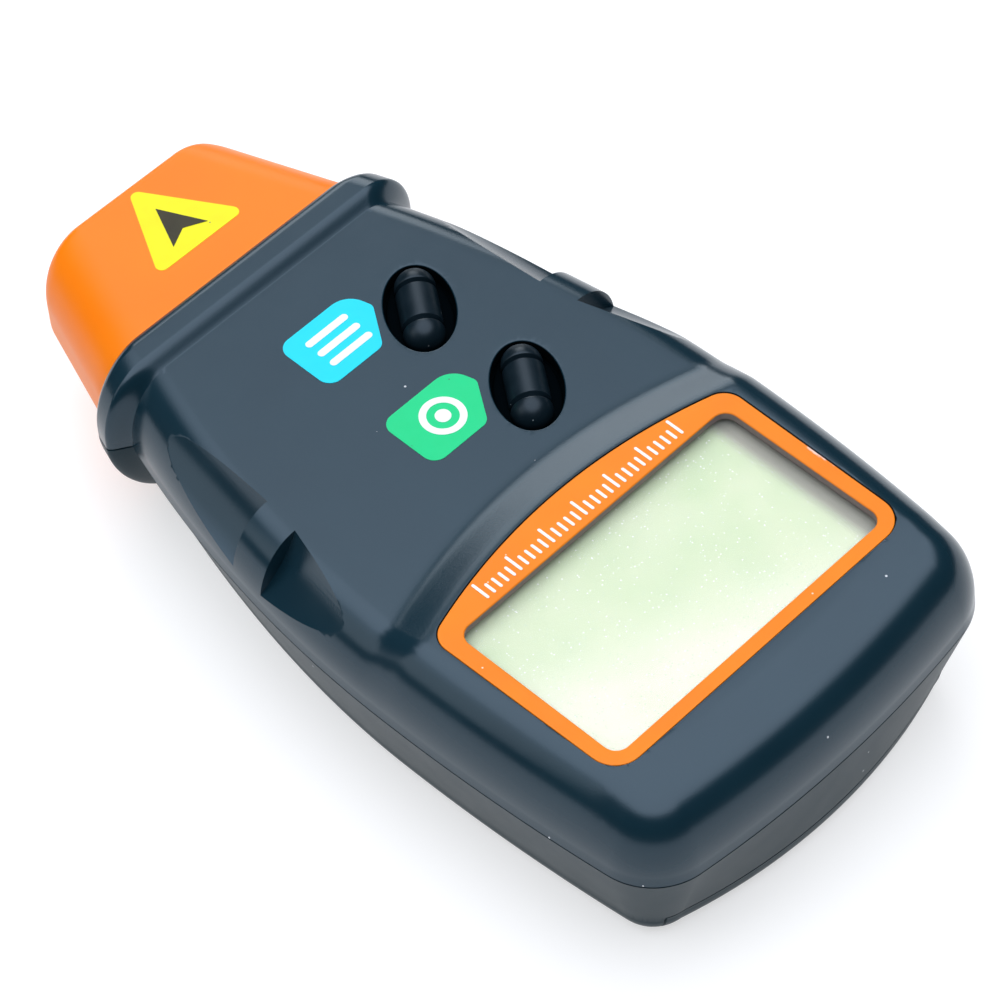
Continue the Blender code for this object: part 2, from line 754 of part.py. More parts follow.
def cap_body(name, inset, root_y, front_y):
    """The cap's outside, or the room inside it where there is an inset."""
    side_edge, top_edge, low_edge = (
        max(edge - inset, CAP_LEAST_EDGE)
        for edge in (CAP_FRONT_SIDE_EDGE, CAP_FRONT_TOP_EDGE, CAP_FRONT_LOW_EDGE)
    )
    last = max(side_edge, low_edge)
    stations = [root_y, COLLAR_FRONT_Y]
    for i in range(CAP_FRONT_STEPS + 1):
        stations.append(front_y - last * (1 - math.sin(math.pi / 2 * i / CAP_FRONT_STEPS)))
    rings = []
    for y in stations:
        turn = turned_in(y, front_y, side_edge)
        low_z = CAP_BOTTOM_Z + inset + turned_in(y, front_y, low_edge)
        top_z = CAP_TOP_Z - inset - turned_in(y, front_y, top_edge)
        section = cap_section(cap_half_width(y) - inset - turn, low_z, top_z, inset + turn)
        rings.append([(x, y, z) for x, z in section])
    return stack(name, rings)


def cap_opening(name, gap, low_y, high_y):
    """A straight plug with the cap's section where it passes the collar, larger by a gap."""
    half = cap_half_width(low_y) + gap
    return bar_along_y(name, cap_section(half, CAP_BOTTOM_Z - gap, CAP_TOP_Z + gap, -gap), low_y, high_y)


def slot_plug(name, grow, low_y, high_y):
    """A plug with almost round ends that fills the cap's front slot, larger by a rim."""
    height = WINDOW_SLOT_HEIGHT + 2 * grow
    outline = rounded_rectangle(0.0, OPTIC_AXIS_Z, WINDOW_SLOT_LENGTH + 2 * grow, height,
                                height / 2 * WINDOW_SLOT_ROUNDNESS, SLOT_END_STEPS)
    return bar_along_y(name, outline, low_y, high_y)


WINDOW_BACK_Y = NOSE_Y - CAP_FRONT_WALL - FIT - WINDOW_THICKNESS
CAP_ROOM_FRONT_Y = WINDOW_BACK_Y + WINDOW_THICKNESS + FIT


def nose_cap():
    """The hollow nose cap, with its front slot and the flange that the shells trap."""
    cap = cap_body("nose_cap", 0.0, CAP_ROOT_Y, NOSE_Y)
    flange = cap_opening("flange", CAP_FLANGE_RISE, CAP_ROOT_Y, CAP_ROOT_Y + CAP_FLANGE_THICKNESS)
    cut(flange, box("below", (-COLLAR_HALF_WIDTH, 0.0, 0.0), (COLLAR_HALF_WIDTH, NOSE_Y, PARTING_Z)))
    join(cap, flange)
    cut(cap, cap_body("cap_room", CAP_WALL, CAP_ROOT_Y - 2 * CAP_WALL, CAP_ROOM_FRONT_Y))
    cut(cap, slot_plug("slot", 0.0, CAP_ROOM_FRONT_Y - 2 * WALL, NOSE_Y + WALL))
    cut(cap, slot_plug("seat", WINDOW_RIM + FIT, WINDOW_BACK_Y - WALL, CAP_ROOM_FRONT_Y))
    return finish(cap, "orange_plastic")


# Grip scoops

def scoop(name, side, rib_y, tip_y, grow=0.0):
    """A slanting round cutter, deep at the rib, that leaves the shoulder at the scoop's tip."""
    edge = half_width(rib_y)
    inner = Vector((edge - SCOOP_INNER_FROM_EDGE, FACE_Z))
    outer = Vector((edge - SCOOP_OUTER_FROM_EDGE, SCOOP_OUTER_Z))
    chord = outer - inner
    outward = Vector((-chord.y, chord.x)).normalized()
    rise = math.sqrt(SCOOP_RADIUS ** 2 - (chord.length / 2) ** 2)
    centre = (inner + outer) / 2 + outward * rise
    tip_centre = centre + outward * SCOOP_DEPTH + Vector((half_width(tip_y) - edge, 0.0))
    end_y = tip_y + (tip_y - rib_y) * SCOOP_OVERSHOOT
    end_centre = tip_centre + (tip_centre - centre) * SCOOP_OVERSHOOT
    start_y = rib_y + (grow if tip_y < rib_y else -grow)
    return stack(name, [
        [(side * x, y, z) for x, z in circle(middle.x, middle.y, 2 * (SCOOP_RADIUS + grow), SCOOP_STEPS)]
        for y, middle in ((start_y, centre), (end_y, end_centre))
    ])


def scoops(grow=0.0):
    return [
        scoop("scoop", side, rib_y, tip_y, grow)
        for side in (-1, 1)
        for rib_y, tip_y in ((RIB_FRONT_Y, SCOOP_FRONT_TIP_Y), (RIB_BACK_Y, SCOOP_BACK_TIP_Y))
    ]


# Display

FRAME_TOP_Z = DISPLAY_Z - FRAME_BELOW_FACE
FRAME_FLOOR_Z = FRAME_TOP_Z - FRAME_THICKNESS - FIT
LENS_TOP_Z = FRAME_TOP_Z - FRAME_THICKNESS - FIT
LCD_TOP_Z = LENS_TOP_Z - LENS_THICKNESS - FIT
CEILING_Z = FACE_Z - WALL


def frame_line(gap):
    """Outline of the display frame: straight sides and tail, and a bowed nose side."""
    corners = []
    tail = FRAME_TAIL_CORNER + gap
    top = FRAME_TOP_CORNER + gap
    tail_x = FRAME_TAIL_HALF_WIDTH + gap
    top_x = FRAME_TOP_HALF_WIDTH + gap
    low_y = FRAME_TAIL_Y - gap
    side_y = FRAME_SIDE_Y + gap
    crown_y = FRAME_CROWN_Y + gap
    shares = [i / FRAME_CORNER_STEPS for i in range(FRAME_CORNER_STEPS + 1)]
    for t in shares:
        angle = math.pi / 2 * (t - 1)
        corners.append((tail_x - tail + tail * math.cos(angle), low_y + tail + tail * math.sin(angle)))
    for t in shares:
        angle = FRAME_TOP_CORNER_SWEEP * t
        corners.append((top_x - top + top * math.cos(angle), side_y - top + top * math.sin(angle)))
    last_x, last_y = corners[-1]
    arc = []
    for i in range(1, FRAME_ARC_STEPS):
        t = 1 - 2 * i / FRAME_ARC_STEPS
        arc.append((last_x * t, last_y + (crown_y - last_y) * (1 - t * t)))
    return corners + arc + [(-x, y) for x, y in reversed(corners)]


def lcd_line(gap):
    """Outline of the panel and of the lens over it, larger by a gap for the well they sit in."""
    width = LCD_WIDTH + 2 * gap
    height = LCD_HEIGHT + 2 * gap
    return rounded_rectangle(0.0, WINDOW_CENTRE_Y, width, height, max(LCD_CORNER + gap, FIT))


def display_frame():
    low = FRAME_TOP_Z - FRAME_THICKNESS
    frame = prism("display_frame", frame_line(0.0), low, FRAME_TOP_Z)
    window = rounded_rectangle(0.0, WINDOW_CENTRE_Y, WINDOW_WIDTH, WINDOW_HEIGHT, WINDOW_CORNER)
    cut(frame, prism("hole", window, low - WALL, FRAME_TOP_Z + WALL))
    return finish(frame, "orange_frame")


def display_window():
    lens = prism("display_window", lcd_line(0.0), LENS_TOP_Z - LENS_THICKNESS, LENS_TOP_Z)
    return finish(lens, "clear_plastic")


def lcd_panel():
    panel = prism("lcd_panel", lcd_line(0.0), LCD_TOP_Z - LCD_THICKNESS, LCD_TOP_Z)
    return finish(panel, "display_glass")


def lcd_bracket():
    """The frame that holds the panel on the board, with a ledge under the panel's edge."""
    low = BOARD_TOP_Z + FIT
    ledge = LCD_TOP_Z - LCD_THICKNESS - FIT
    high = CEILING_Z - FIT
    bracket = prism("lcd_bracket", lcd_line(FIT + BRACKET_RIM), low, high)
    cut(bracket, prism("room", lcd_line(-LCD_LEDGE), low - WALL, high + WALL))
    cut(bracket, prism("seat", lcd_line(FIT), ledge, high + WALL))
    return finish(bracket, "white_plastic")


def zebra_strips():
    """The two rubber strips that join the panel's long edges to the board."""
    half_room = LCD_HEIGHT / 2 - LCD_LEDGE - FIT
    for name, side in (("zebra_strip_front", 1), ("zebra_strip_rear", -1)):
        outer = WINDOW_CENTRE_Y + side * half_room
        inner = outer - side * ZEBRA_WIDTH
        strip = box(name, (-ZEBRA_LENGTH / 2, min(outer, inner), BOARD_TOP_Z + FIT),
                    (ZEBRA_LENGTH / 2, max(outer, inner), LCD_TOP_Z - LCD_THICKNESS - FIT))
        finish(strip, "grey_rubber")


# Keys and switches

KEY_DECK_Z = FACE_Z - KEY_DECK_BELOW_FACE
KEY_FLANGE_TOP_Z = CEILING_Z - FIT
SWITCH_LOW_Z = BOARD_TOP_Z + FIT
SWITCH_TOP_Z = KEY_FLANGE_TOP_Z - KEY_FLANGE_THICKNESS - KEY_TRAVEL - FIT
KEY_PLACES = {"upper_key": KEY_UPPER_Y, "lower_key": KEY_UPPER_Y - KEY_PITCH}


def key_grip(name, x, y):
    """The raised grip: a half round bar with ball ends, lying along the key's long axis."""
    radius = KEY_GRIP_WIDTH / 2
    reach = KEY_GRIP_LENGTH / 2 - radius
    axis_z = KEY_CROWN_Z - radius
    foot = KEY_DECK_Z - axis_z - ROOTED
    stations = []
    for i in range(KEY_END_STEPS):
        angle = math.pi / 2 * (i + KEY_TIP_START) / KEY_END_STEPS
        stations.append((-reach - radius * math.cos(angle), radius * math.sin(angle)))
    stations.append((-reach, radius))
    for side in (-1, 1):
        middle = side * KEY_GROOVE_FROM_MIDDLE
        half = KEY_GROOVE_WIDTH / 2
        deep = radius - KEY_GROOVE_DEPTH
        stations += [(middle - half, radius), (middle - half / 2, deep), (middle + half / 2, deep),
                     (middle + half, radius)]
    stations += [(-a, r) for a, r in reversed(stations[:KEY_END_STEPS + 1])]
    turns = [math.pi * i / KEY_BAR_STEPS for i in range(KEY_BAR_STEPS + 1)]
    rings = []
    for along, r in stations:
        line = [(r, foot)] + [(r * math.cos(t), r * math.sin(t)) for t in turns] + [(-r, foot)]
        rings.append([
            (
                x + along * math.cos(KEY_TILT) - across * math.sin(KEY_TILT),
                y + along * math.sin(KEY_TILT) + across * math.cos(KEY_TILT),
                axis_z + up,
            )
            for across, up in line
        ])
    return stack(name, rings)


def key_oval(y, grow):
    """Outline of a key's hole, or of a piece larger than it all round."""
    return oval(KEY_X, y, KEY_OVAL_LENGTH + 2 * grow, KEY_OVAL_WIDTH + 2 * grow, KEY_TILT)


def keys():
    """Two push keys, each with a deck in its oval hole and a flange under the shell."""
    flange_low = KEY_FLANGE_TOP_Z - KEY_FLANGE_THICKNESS
    nib_low = flange_low - FIT / 2
    for name, y in KEY_PLACES.items():
        key = prism(name, key_oval(y, KEY_FLANGE_RIM), flange_low, KEY_FLANGE_TOP_Z)
        join(key, prism("deck", key_oval(y, -KEY_CLEARANCE), KEY_FLANGE_TOP_Z - ROOTED, KEY_DECK_Z))
        join(key, key_grip("grip", KEY_X, y))
        join(key, upright_round("nib", KEY_X, y, KEY_NIB_DIAMETER, nib_low, flange_low + ROOTED))
        finish(key, "black_gloss")
        set_origin(key, KEY_X, y, FACE_Z)


def switches():
    """A flat push switch on the board under each key."""
    half = SWITCH_SIZE / 2
    top = SWITCH_LOW_Z + SWITCH_BODY_THICKNESS
    dome_top = min(SWITCH_TOP_Z, top + SWITCH_BODY_THICKNESS)
    for name, y in KEY_PLACES.items():
        low_corner = (KEY_X - half, y - half, SWITCH_LOW_Z)
        switch = box(name + "_switch", low_corner, (KEY_X + half, y + half, top))
        join(switch, upright_round("dome", KEY_X, y, SWITCH_DOME_DIAMETER, top - ROOTED, dome_top))
        finish(switch, "steel")


# Shells

SCREW_PLACES = {
    place + "_" + hand: (side * (half_width(y) - SCREW_FROM_SIDE), y)
    for place, y in SCREW_STATIONS.items()
    for hand, side in (("left", -1), ("right", 1))
}
BOARD_SCREW_PLACES = {place: (BOARD_SCREW_X, y) for place, y in BOARD_SCREW_STATIONS.items()}


def front_shell():
    """The moulded front shell with its collar, scoops, key holes and display well."""
    shell = upper_body("front_shell")
    join(shell, collar_half("collar", True))
    room = upper_body("room", WALL)
    cut(room, *scoops(SCOOP_WALL))
    cut(shell, room, collar_room(True))
    cut(shell, cap_opening("cap_hole", FIT, COLLAR_LIP_Y, COLLAR_FRONT_Y + WALL))
    cut(shell, *scoops())
    cut(shell, prism("frame_seat", frame_line(FIT), FRAME_FLOOR_Z, DISPLAY_Z + WALL))
    cut(shell, prism("well", lcd_line(FIT), CEILING_Z - WALL, DISPLAY_Z))
    for y in KEY_PLACES.values():
        cut(shell, prism("key_hole", key_oval(y, 0.0), CEILING_Z - WALL, FACE_Z + WALL))
    rooted_z = CEILING_Z + WALL / 2
    for x, y in SCREW_PLACES.values():
        join(shell, upright_round("boss", x, y, BOSS_DIAMETER, PARTING_Z + SEAM / 2, rooted_z))
    for x, y in BOARD_SCREW_PLACES.values():
        join(shell, upright_round("post", x, y, BOARD_POST_DIAMETER, BOARD_TOP_Z + FIT, rooted_z))
    pilot_top = PARTING_Z + SCREW_REACH_IN_FRONT + FIT
    for x, y in SCREW_PLACES.values():
        cut(shell, upright_round("pilot", x, y, SCREW_DIAMETER + 2 * FIT, PARTING_Z - WALL, pilot_top))
    pilot = BOARD_SCREW_DIAMETER + 2 * FIT
    for x, y in BOARD_SCREW_PLACES.values():
        cut(shell, upright_round("pilot", x, y, pilot, BOARD_TOP_Z, CEILING_Z, SMALL_ROUND_STEPS))
    return finish(shell, "slate_plastic")


BATTERY_LOW_Z = DOOR_THICKNESS + FIT
BATTERY_HIGH_Z = BATTERY_LOW_Z + BATTERY_THICKNESS
BATTERY_LEFT_X = -(BATTERY_LENGTH + BATTERY_STUD_HEIGHT) / 2
STUD_TIP_X = BATTERY_LEFT_X + BATTERY_LENGTH + BATTERY_STUD_HEIGHT
BAY_LEFT_X = BATTERY_LEFT_X - FIT
BAY_RIGHT_X = STUD_TIP_X + CONTACT_THICKNESS + 2 * FIT
BAY_BACK_Y = BATTERY_CENTRE_Y - BATTERY_DEPTH / 2 - FIT
BAY_FRONT_Y = BATTERY_CENTRE_Y + BATTERY_DEPTH / 2 + FIT
BAY_CEILING_Z = BATTERY_HIGH_Z + FIT
DOOR_HOLE_HALF_WIDTH = DOOR_HALF_WIDTH + FIT
RAIL_HALF_WIDTH = DOOR_HOLE_HALF_WIDTH + DOOR_RAIL_WIDTH
BAY_WALL_X = DOOR_HOLE_HALF_WIDTH + BOX_WALL


def battery_bay():
    """The battery's box, moulded into the rear shell: its walls, its ceiling and the door's rails."""
    front = BAY_FRONT_Y + BOX_WALL
    bay = box("bay", (-BAY_WALL_X, TAIL_Y, WALL / 2), (BAY_WALL_X, front, BAY_CEILING_Z + BOX_CEILING))
    rail_end = DOOR_FRONT_Y + WALL
    for side in (-1, 1):
        edges = sorted((side * (DOOR_HOLE_HALF_WIDTH - WALL), side * RAIL_HALF_WIDTH))
        join(bay, box("rail", (edges[0], TAIL_Y, WALL / 2), (edges[1], rail_end, DOOR_RAIL_TOP_Z)))
    tall = BAY_CEILING_Z + 2 * BOX_CEILING
    step_z = PARTING_Z - SEAM / 2 - ROOTED
    levels = [(BOX_INSET_IN_FRONT, 0.0, tall), (BOX_INSET_IN_FRONT, 0.0, step_z)]
    levels += back_levels(WALL / 2, BACK_EDGE_RADIUS - WALL / 2, step_z, BACK_EDGE_RADIUS)
    return keep_inside(bay, shell_block("inside", levels, COLLAR_BACK_Y, lambda y: WALL / 2))


def rear_shell():
    """The moulded rear shell with its collar, battery bay, door rails and screw bosses."""
    shell = lower_body("rear_shell")
    join(shell, collar_half("collar", False))
    cut(shell, lower_body("room", WALL), collar_room(False))
    cut(shell, cap_opening("cap_hole", FIT, COLLAR_LIP_Y, COLLAR_FRONT_Y + WALL))
    join(shell, battery_bay())
    for x, y in SCREW_PLACES.values():
        rooted_z = back_height(y) + WALL / 2
        join(shell, upright_round("boss", x, y, BOSS_DIAMETER, rooted_z, PARTING_Z - SEAM / 2))
    cut(shell, box("chamber", (BAY_LEFT_X, BAY_BACK_Y, -WALL), (BAY_RIGHT_X, BAY_FRONT_Y, BAY_CEILING_Z)))
    hole = DOOR_HOLE_HALF_WIDTH
    outside = TAIL_Y - WALL
    front = DOOR_FRONT_Y + FIT
    lip_y = DOOR_LIP_INNER_Y + FIT
    reach = DOOR_HALF_WIDTH + DOOR_TONGUE_REACH + FIT
    tongue_low = DOOR_TONGUE_BOTTOM_Z - FIT
    tongue_high = DOOR_TONGUE_BOTTOM_Z + DOOR_TONGUE_THICKNESS + FIT
    cut(shell, bar_along_x("door_hole", door_profile(front, lip_y, FIT), -hole, hole))
    cut(shell, box("tongue_groove", (-reach, outside, tongue_low), (reach, front - WALL, tongue_high)))
    slot_half = CONTACT_WIDTH / 2 + FIT
    slot_high = BAY_CEILING_Z + 2 * BOX_CEILING
    for y in contact_places():
        cut(shell, box("contact_slot", (STUD_TIP_X, y - slot_half, BAY_CEILING_Z - WALL),
                       (BAY_RIGHT_X, y + slot_half, slot_high)))
    shank = SCREW_DIAMETER + 2 * FIT
    head = SCREW_HEAD_DIAMETER + 2 * FIT
    for x, y in SCREW_PLACES.values():
        cut(shell, upright_round("shank_hole", x, y, shank, SCREW_SEAT_Z - WALL, PARTING_Z + WALL))
        cut(shell, upright_round("head_hole", x, y, head, -WALL, SCREW_SEAT_Z))
    return finish(shell, "slate_plastic")


# Battery door, battery and contacts

def contact_places():
    return [BATTERY_CENTRE_Y + side * BATTERY_STUD_SPACING / 2 for side in (-1, 1)]


def door_profile(front_y, lip_y, gap):
    """The door's side outline in Y and Z: a plate with a lip that rises at the tail."""
    outside = TAIL_Y - WALL
    plate_top = DOOR_THICKNESS + gap
    lip_top = DOOR_LIP_TOP_Z + gap
    return [(outside, -WALL), (front_y, -WALL), (front_y, plate_top), (lip_y, plate_top),
            (lip_y, lip_top), (outside, lip_top)]


def battery_door():
    """The door: the tail part of the back with its end lip, side tongues and thumb ridges."""
    door = lower_body("battery_door")
    half = DOOR_HALF_WIDTH
    keep_inside(door, bar_along_x("plate", door_profile(DOOR_FRONT_Y, DOOR_LIP_INNER_Y, 0.0), -half, half))
    low = DOOR_TONGUE_BOTTOM_Z
    high = low + DOOR_TONGUE_THICKNESS
    back = CORNER_SIDE_Y
    front = DOOR_FRONT_Y - WALL - FIT
    for side in (-1, 1):
        edges = sorted((side * (half - WALL), side * (half + DOOR_TONGUE_REACH)))
        join(door, box("tongue", (edges[0], back, low), (edges[1], front, high)))
    ridge = DOOR_GRIP_LENGTH / 2
    width = DOOR_GRIP_PITCH / 4
    for i in range(DOOR_GRIP_COUNT):
        y = DOOR_GRIP_Y + DOOR_GRIP_PITCH * (i - (DOOR_GRIP_COUNT - 1) / 2)
        cut(door, box("thumb_groove", (-ridge, y - width, -WALL), (ridge, y + width, DOOR_GRIP_DEPTH)))
    finish(door, "slate_plastic")
    set_origin(door, 0.0, (TAIL_Y + DOOR_FRONT_Y) / 2, 0.0)
    return door


def battery():
    """A block battery, lying across the tail with its two studs to the right."""
    middle_z = (BATTERY_LOW_Z + BATTERY_HIGH_Z) / 2
    right = BATTERY_LEFT_X + BATTERY_LENGTH
    outline = rounded_rectangle(BATTERY_CENTRE_Y, middle_z, BATTERY_DEPTH, BATTERY_THICKNESS, BATTERY_EDGE)
    block = bar_along_x("battery", outline, BATTERY_LEFT_X, right)
    for y, diameter in zip(contact_places(), (BATTERY_SMALL_STUD, BATTERY_LARGE_STUD)):
        stud = circle(y, middle_z, diameter, SMALL_ROUND_STEPS)
        join(block, bar_along_x("stud", stud, right - ROOTED, STUD_TIP_X))
    return finish(block, "battery_jacket")


def battery_contacts():
    """Two strip contacts that rise from the studs through the bay's ceiling to the board."""
    low_x = STUD_TIP_X + FIT
    high_x = low_x + CONTACT_THICKNESS
    half = CONTACT_WIDTH / 2
    high = BOARD_TOP_Z - BOARD_THICKNESS - FIT
    for name, y in zip(("small_contact", "large_contact"), contact_places()):
        finish(box(name, (low_x, y - half, CONTACT_FOOT_Z), (high_x, y + half, high)), "steel")


# Circuit board and what is on it

HOLDER_FRONT_Y = WINDOW_BACK_Y - FIT
HOLDER_BACK_Y = HOLDER_FRONT_Y - HOLDER_LENGTH
SENSOR_BOARD_FRONT_Y = HOLDER_BACK_Y - FIT


def circuit_board():
    """The main board: wide under the display, narrow at the keys, with a tongue to the nose."""
    tongue_end = SENSOR_BOARD_FRONT_Y - SENSOR_BOARD_THICKNESS - FIT
    half = [
        (BOARD_TAIL_HALF_WIDTH, BOARD_TAIL_Y),
        (BOARD_TAIL_HALF_WIDTH, BOARD_SHOULDER_Y),
        (BOARD_NECK_HALF_WIDTH, BOARD_SHOULDER_Y),
        (BOARD_NECK_HALF_WIDTH, BOARD_NECK_Y),
        (BOARD_TONGUE_HALF_WIDTH, BOARD_NECK_Y),
        (BOARD_TONGUE_HALF_WIDTH, tongue_end),
    ]
    outline = half + [(-x, y) for x, y in reversed(half)]
    low = BOARD_TOP_Z - BOARD_THICKNESS
    board = prism("circuit_board", outline, low, BOARD_TOP_Z)
    hole = BOARD_SCREW_DIAMETER + 2 * FIT
    for x, y in BOARD_SCREW_PLACES.values():
        cut(board, upright_round("hole", x, y, hole, low - WALL, BOARD_TOP_Z + WALL, SMALL_ROUND_STEPS))
    return finish(board, "board_green")


def controller_chip():
    half = CHIP_SIZE / 2
    high = BOARD_TOP_Z - BOARD_THICKNESS - FIT
    chip = box("controller_chip", (CHIP_X - half, CHIP_Y - half, high - CHIP_THICKNESS),
               (CHIP_X + half, CHIP_Y + half, high))
    return finish(chip, "black_plastic")


# Optics

LASER_BACK_Y = HOLDER_BACK_Y + FIT
LASER_FRONT_Y = LASER_BACK_Y + LASER_LENGTH - 2 * FIT
COLLECTING_LENS_FRONT_Y = HOLDER_FRONT_Y - FIT
COLLECTING_LENS_BACK_Y = COLLECTING_LENS_FRONT_Y - COLLECTING_LENS_THICKNESS


def laser_module():
    """The laser's barrel, with a seat for its lens in the front."""
    radius = LASER_DIAMETER / 2
    module = turned_along_y("laser_module", LASER_X, [(LASER_BACK_Y, radius), (LASER_FRONT_Y, radius)])
    seat = LASER_LENS_DIAMETER / 2 + FIT
    seat_y = LASER_FRONT_Y - LASER_LENS_THICKNESS - 2 * FIT
    cut(module, turned_along_y("lens_seat", LASER_X, [(seat_y, seat), (LASER_FRONT_Y + WALL, seat)]))
    return finish(module, "brass")


def laser_lens():
    front = LASER_FRONT_Y - FIT
    lens = domed_round("laser_lens", LASER_X, front - LASER_LENS_THICKNESS, front, LASER_LENS_DIAMETER,
                       LASER_LENS_DOME, SMALL_ROUND_STEPS)
    return finish(lens, "lens_glass")


def light_sensor():
    """A round sensor with a domed front, at the back of the collecting lens's tube."""
    sensor = domed_round("light_sensor", SENSOR_X, LASER_BACK_Y, LASER_BACK_Y + SENSOR_LENGTH,
                         SENSOR_DIAMETER, SENSOR_DIAMETER / 2, SMALL_ROUND_STEPS)
    return finish(sensor, "black_gloss")


def collecting_lens():
    lens = domed_round("collecting_lens", SENSOR_X, COLLECTING_LENS_BACK_Y, COLLECTING_LENS_FRONT_Y,
                       COLLECTING_LENS_DIAMETER, COLLECTING_LENS_DOME)
    return finish(lens, "lens_glass")


def optics_holder():
    """The block that carries the laser and the lens in the cap, with a bore for the laser and a
    tube that widens from the sensor to the lens."""
    middle = (HOLDER_BACK_Y + HOLDER_FRONT_Y) / 2
    outline = rounded_rectangle(0.0, middle, 2 * HOLDER_HALF_WIDTH, HOLDER_LENGTH, HOLDER_CORNER)
    low = OPTIC_AXIS_Z - HOLDER_HALF_HEIGHT
    holder = prism("optics_holder", outline, low, OPTIC_AXIS_Z + HOLDER_HALF_HEIGHT)
    behind = HOLDER_BACK_Y - WALL
    beyond = HOLDER_FRONT_Y + WALL
    bore = LASER_DIAMETER / 2 + FIT
    narrow = SENSOR_DIAMETER / 2 + FIT
    wide = COLLECTING_LENS_DIAMETER / 2 + FIT
    seat = COLLECTING_LENS_BACK_Y - FIT
    cut(holder, turned_along_y("laser_bore", LASER_X, [(behind, bore), (beyond, bore)]))
    cut(holder, turned_along_y("cone", SENSOR_X, [
        (behind, narrow),
        (HOLDER_BACK_Y + SENSOR_LENGTH, narrow),
        (seat + ROOTED, wide - HOLDER_LENS_LEDGE),
    ]))
    cut(holder, turned_along_y("lens_seat", SENSOR_X, [(seat, wide), (beyond, wide)]))
    return finish(holder, "black_plastic")


def sensor_board():
    half = HOLDER_HALF_WIDTH
    low = OPTIC_AXIS_Z - HOLDER_HALF_HEIGHT
    high = OPTIC_AXIS_Z + HOLDER_HALF_HEIGHT
    back = SENSOR_BOARD_FRONT_Y - SENSOR_BOARD_THICKNESS
    board = box("sensor_board", (-half, back, low), (half, SENSOR_BOARD_FRONT_Y, high))
    return finish(board, "board_green")


def optics_window():
    """The clear window behind the cap's slot, held by a rim all round."""
    window = slot_plug("optics_window", WINDOW_RIM, WINDOW_BACK_Y, WINDOW_BACK_Y + WINDOW_THICKNESS)
    return finish(window, "clear_plastic")


# Screws

def screw(name, x, y, seat_z, tip_z, diameter, head_diameter, head_height):
    """A screw driven upwards, with a cross in its head."""
    low = seat_z - head_height
    body = upright_round(name, x, y, head_diameter, low, seat_z)
    join(body, upright_round("shank", x, y, diameter, seat_z - ROOTED, tip_z, SMALL_ROUND_STEPS))
    long = head_diameter * SCREW_CROSS_SHARE / 2
    short = SCREW_SLOT_WIDTH / 2
    high = low + SCREW_SLOT_DEPTH
    for reach_x, reach_y in ((long, short), (short, long)):
        cut(body, box("slot", (x - reach_x, y - reach_y, low - WALL), (x + reach_x, y + reach_y, high)))
    return finish(body, "steel")


def screws():
    for place, (x, y) in SCREW_PLACES.items():
        screw("housing_screw_" + place, x, y, SCREW_SEAT_Z - FIT, PARTING_Z + SCREW_REACH_IN_FRONT,
              SCREW_DIAMETER, SCREW_HEAD_DIAMETER, SCREW_HEAD_HEIGHT)
    for place, (x, y) in BOARD_SCREW_PLACES.items():
        screw("board_screw_" + place, x, y, BOARD_TOP_Z - BOARD_THICKNESS - FIT, CEILING_Z - FIT,
              BOARD_SCREW_DIAMETER, BOARD_SCREW_HEAD_DIAMETER, BOARD_SCREW_HEAD_HEIGHT)


def main():
    clear_scene()
    front_shell()
    rear_shell()
    nose_cap()
    display_frame()
    display_window()
    lcd_panel()
    lcd_bracket()
    zebra_strips()
    circuit_board()
    controller_chip()
    keys()
    switches()
    battery_door()
    battery()
    battery_contacts()
    laser_module()
    laser_lens()
    light_sensor()
    collecting_lens()
    optics_holder()
    sensor_board()
    optics_window()
    screws()


main()
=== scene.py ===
"""Looks of the laser tachometer, around its solids.

The shells, the battery door, the nose cap, the display's frame and the keys are made again as fine
surfaces on the model's own outlines. Small round pieces are copied, and the others keep their
solids. X runs across the instrument, Y from its tail to its nose and Z from its back to its face.
Sizes are in millimetres and the meshes in metres.
"""
import math
from functools import partial

import bmesh
import bpy
import numpy as np
from mathutils import Matrix, Vector


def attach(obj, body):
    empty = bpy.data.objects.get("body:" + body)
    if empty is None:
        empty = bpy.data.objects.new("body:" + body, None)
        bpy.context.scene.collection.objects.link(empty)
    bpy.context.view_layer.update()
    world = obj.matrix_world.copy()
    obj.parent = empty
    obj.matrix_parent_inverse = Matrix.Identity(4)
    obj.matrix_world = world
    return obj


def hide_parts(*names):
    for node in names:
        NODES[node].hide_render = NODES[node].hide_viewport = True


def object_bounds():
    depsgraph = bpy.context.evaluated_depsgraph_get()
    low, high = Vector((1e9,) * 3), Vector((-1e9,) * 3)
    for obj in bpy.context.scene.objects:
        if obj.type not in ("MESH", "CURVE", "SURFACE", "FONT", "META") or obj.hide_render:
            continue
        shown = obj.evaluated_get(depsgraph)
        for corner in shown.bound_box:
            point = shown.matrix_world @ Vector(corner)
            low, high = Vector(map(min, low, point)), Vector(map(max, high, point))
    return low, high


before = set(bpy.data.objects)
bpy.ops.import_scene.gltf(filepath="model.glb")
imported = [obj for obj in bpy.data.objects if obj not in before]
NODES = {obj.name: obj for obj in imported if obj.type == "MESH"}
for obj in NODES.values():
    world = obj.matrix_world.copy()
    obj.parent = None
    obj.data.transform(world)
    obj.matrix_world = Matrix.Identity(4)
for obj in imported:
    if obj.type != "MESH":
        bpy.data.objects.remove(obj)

MM = 0.001
CAD_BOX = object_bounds()
HOUSING = "housing"

# The whole instrument's size
LOW, HIGH = (np.round(np.array(corner) / MM, 3) for corner in CAD_BOX)
TAIL_Y = LOW[1]
NOSE_Y = HIGH[1]
BODY_HALF_WIDTH = HIGH[0]
DISPLAY_Z = HIGH[2]
FIT = 0.3

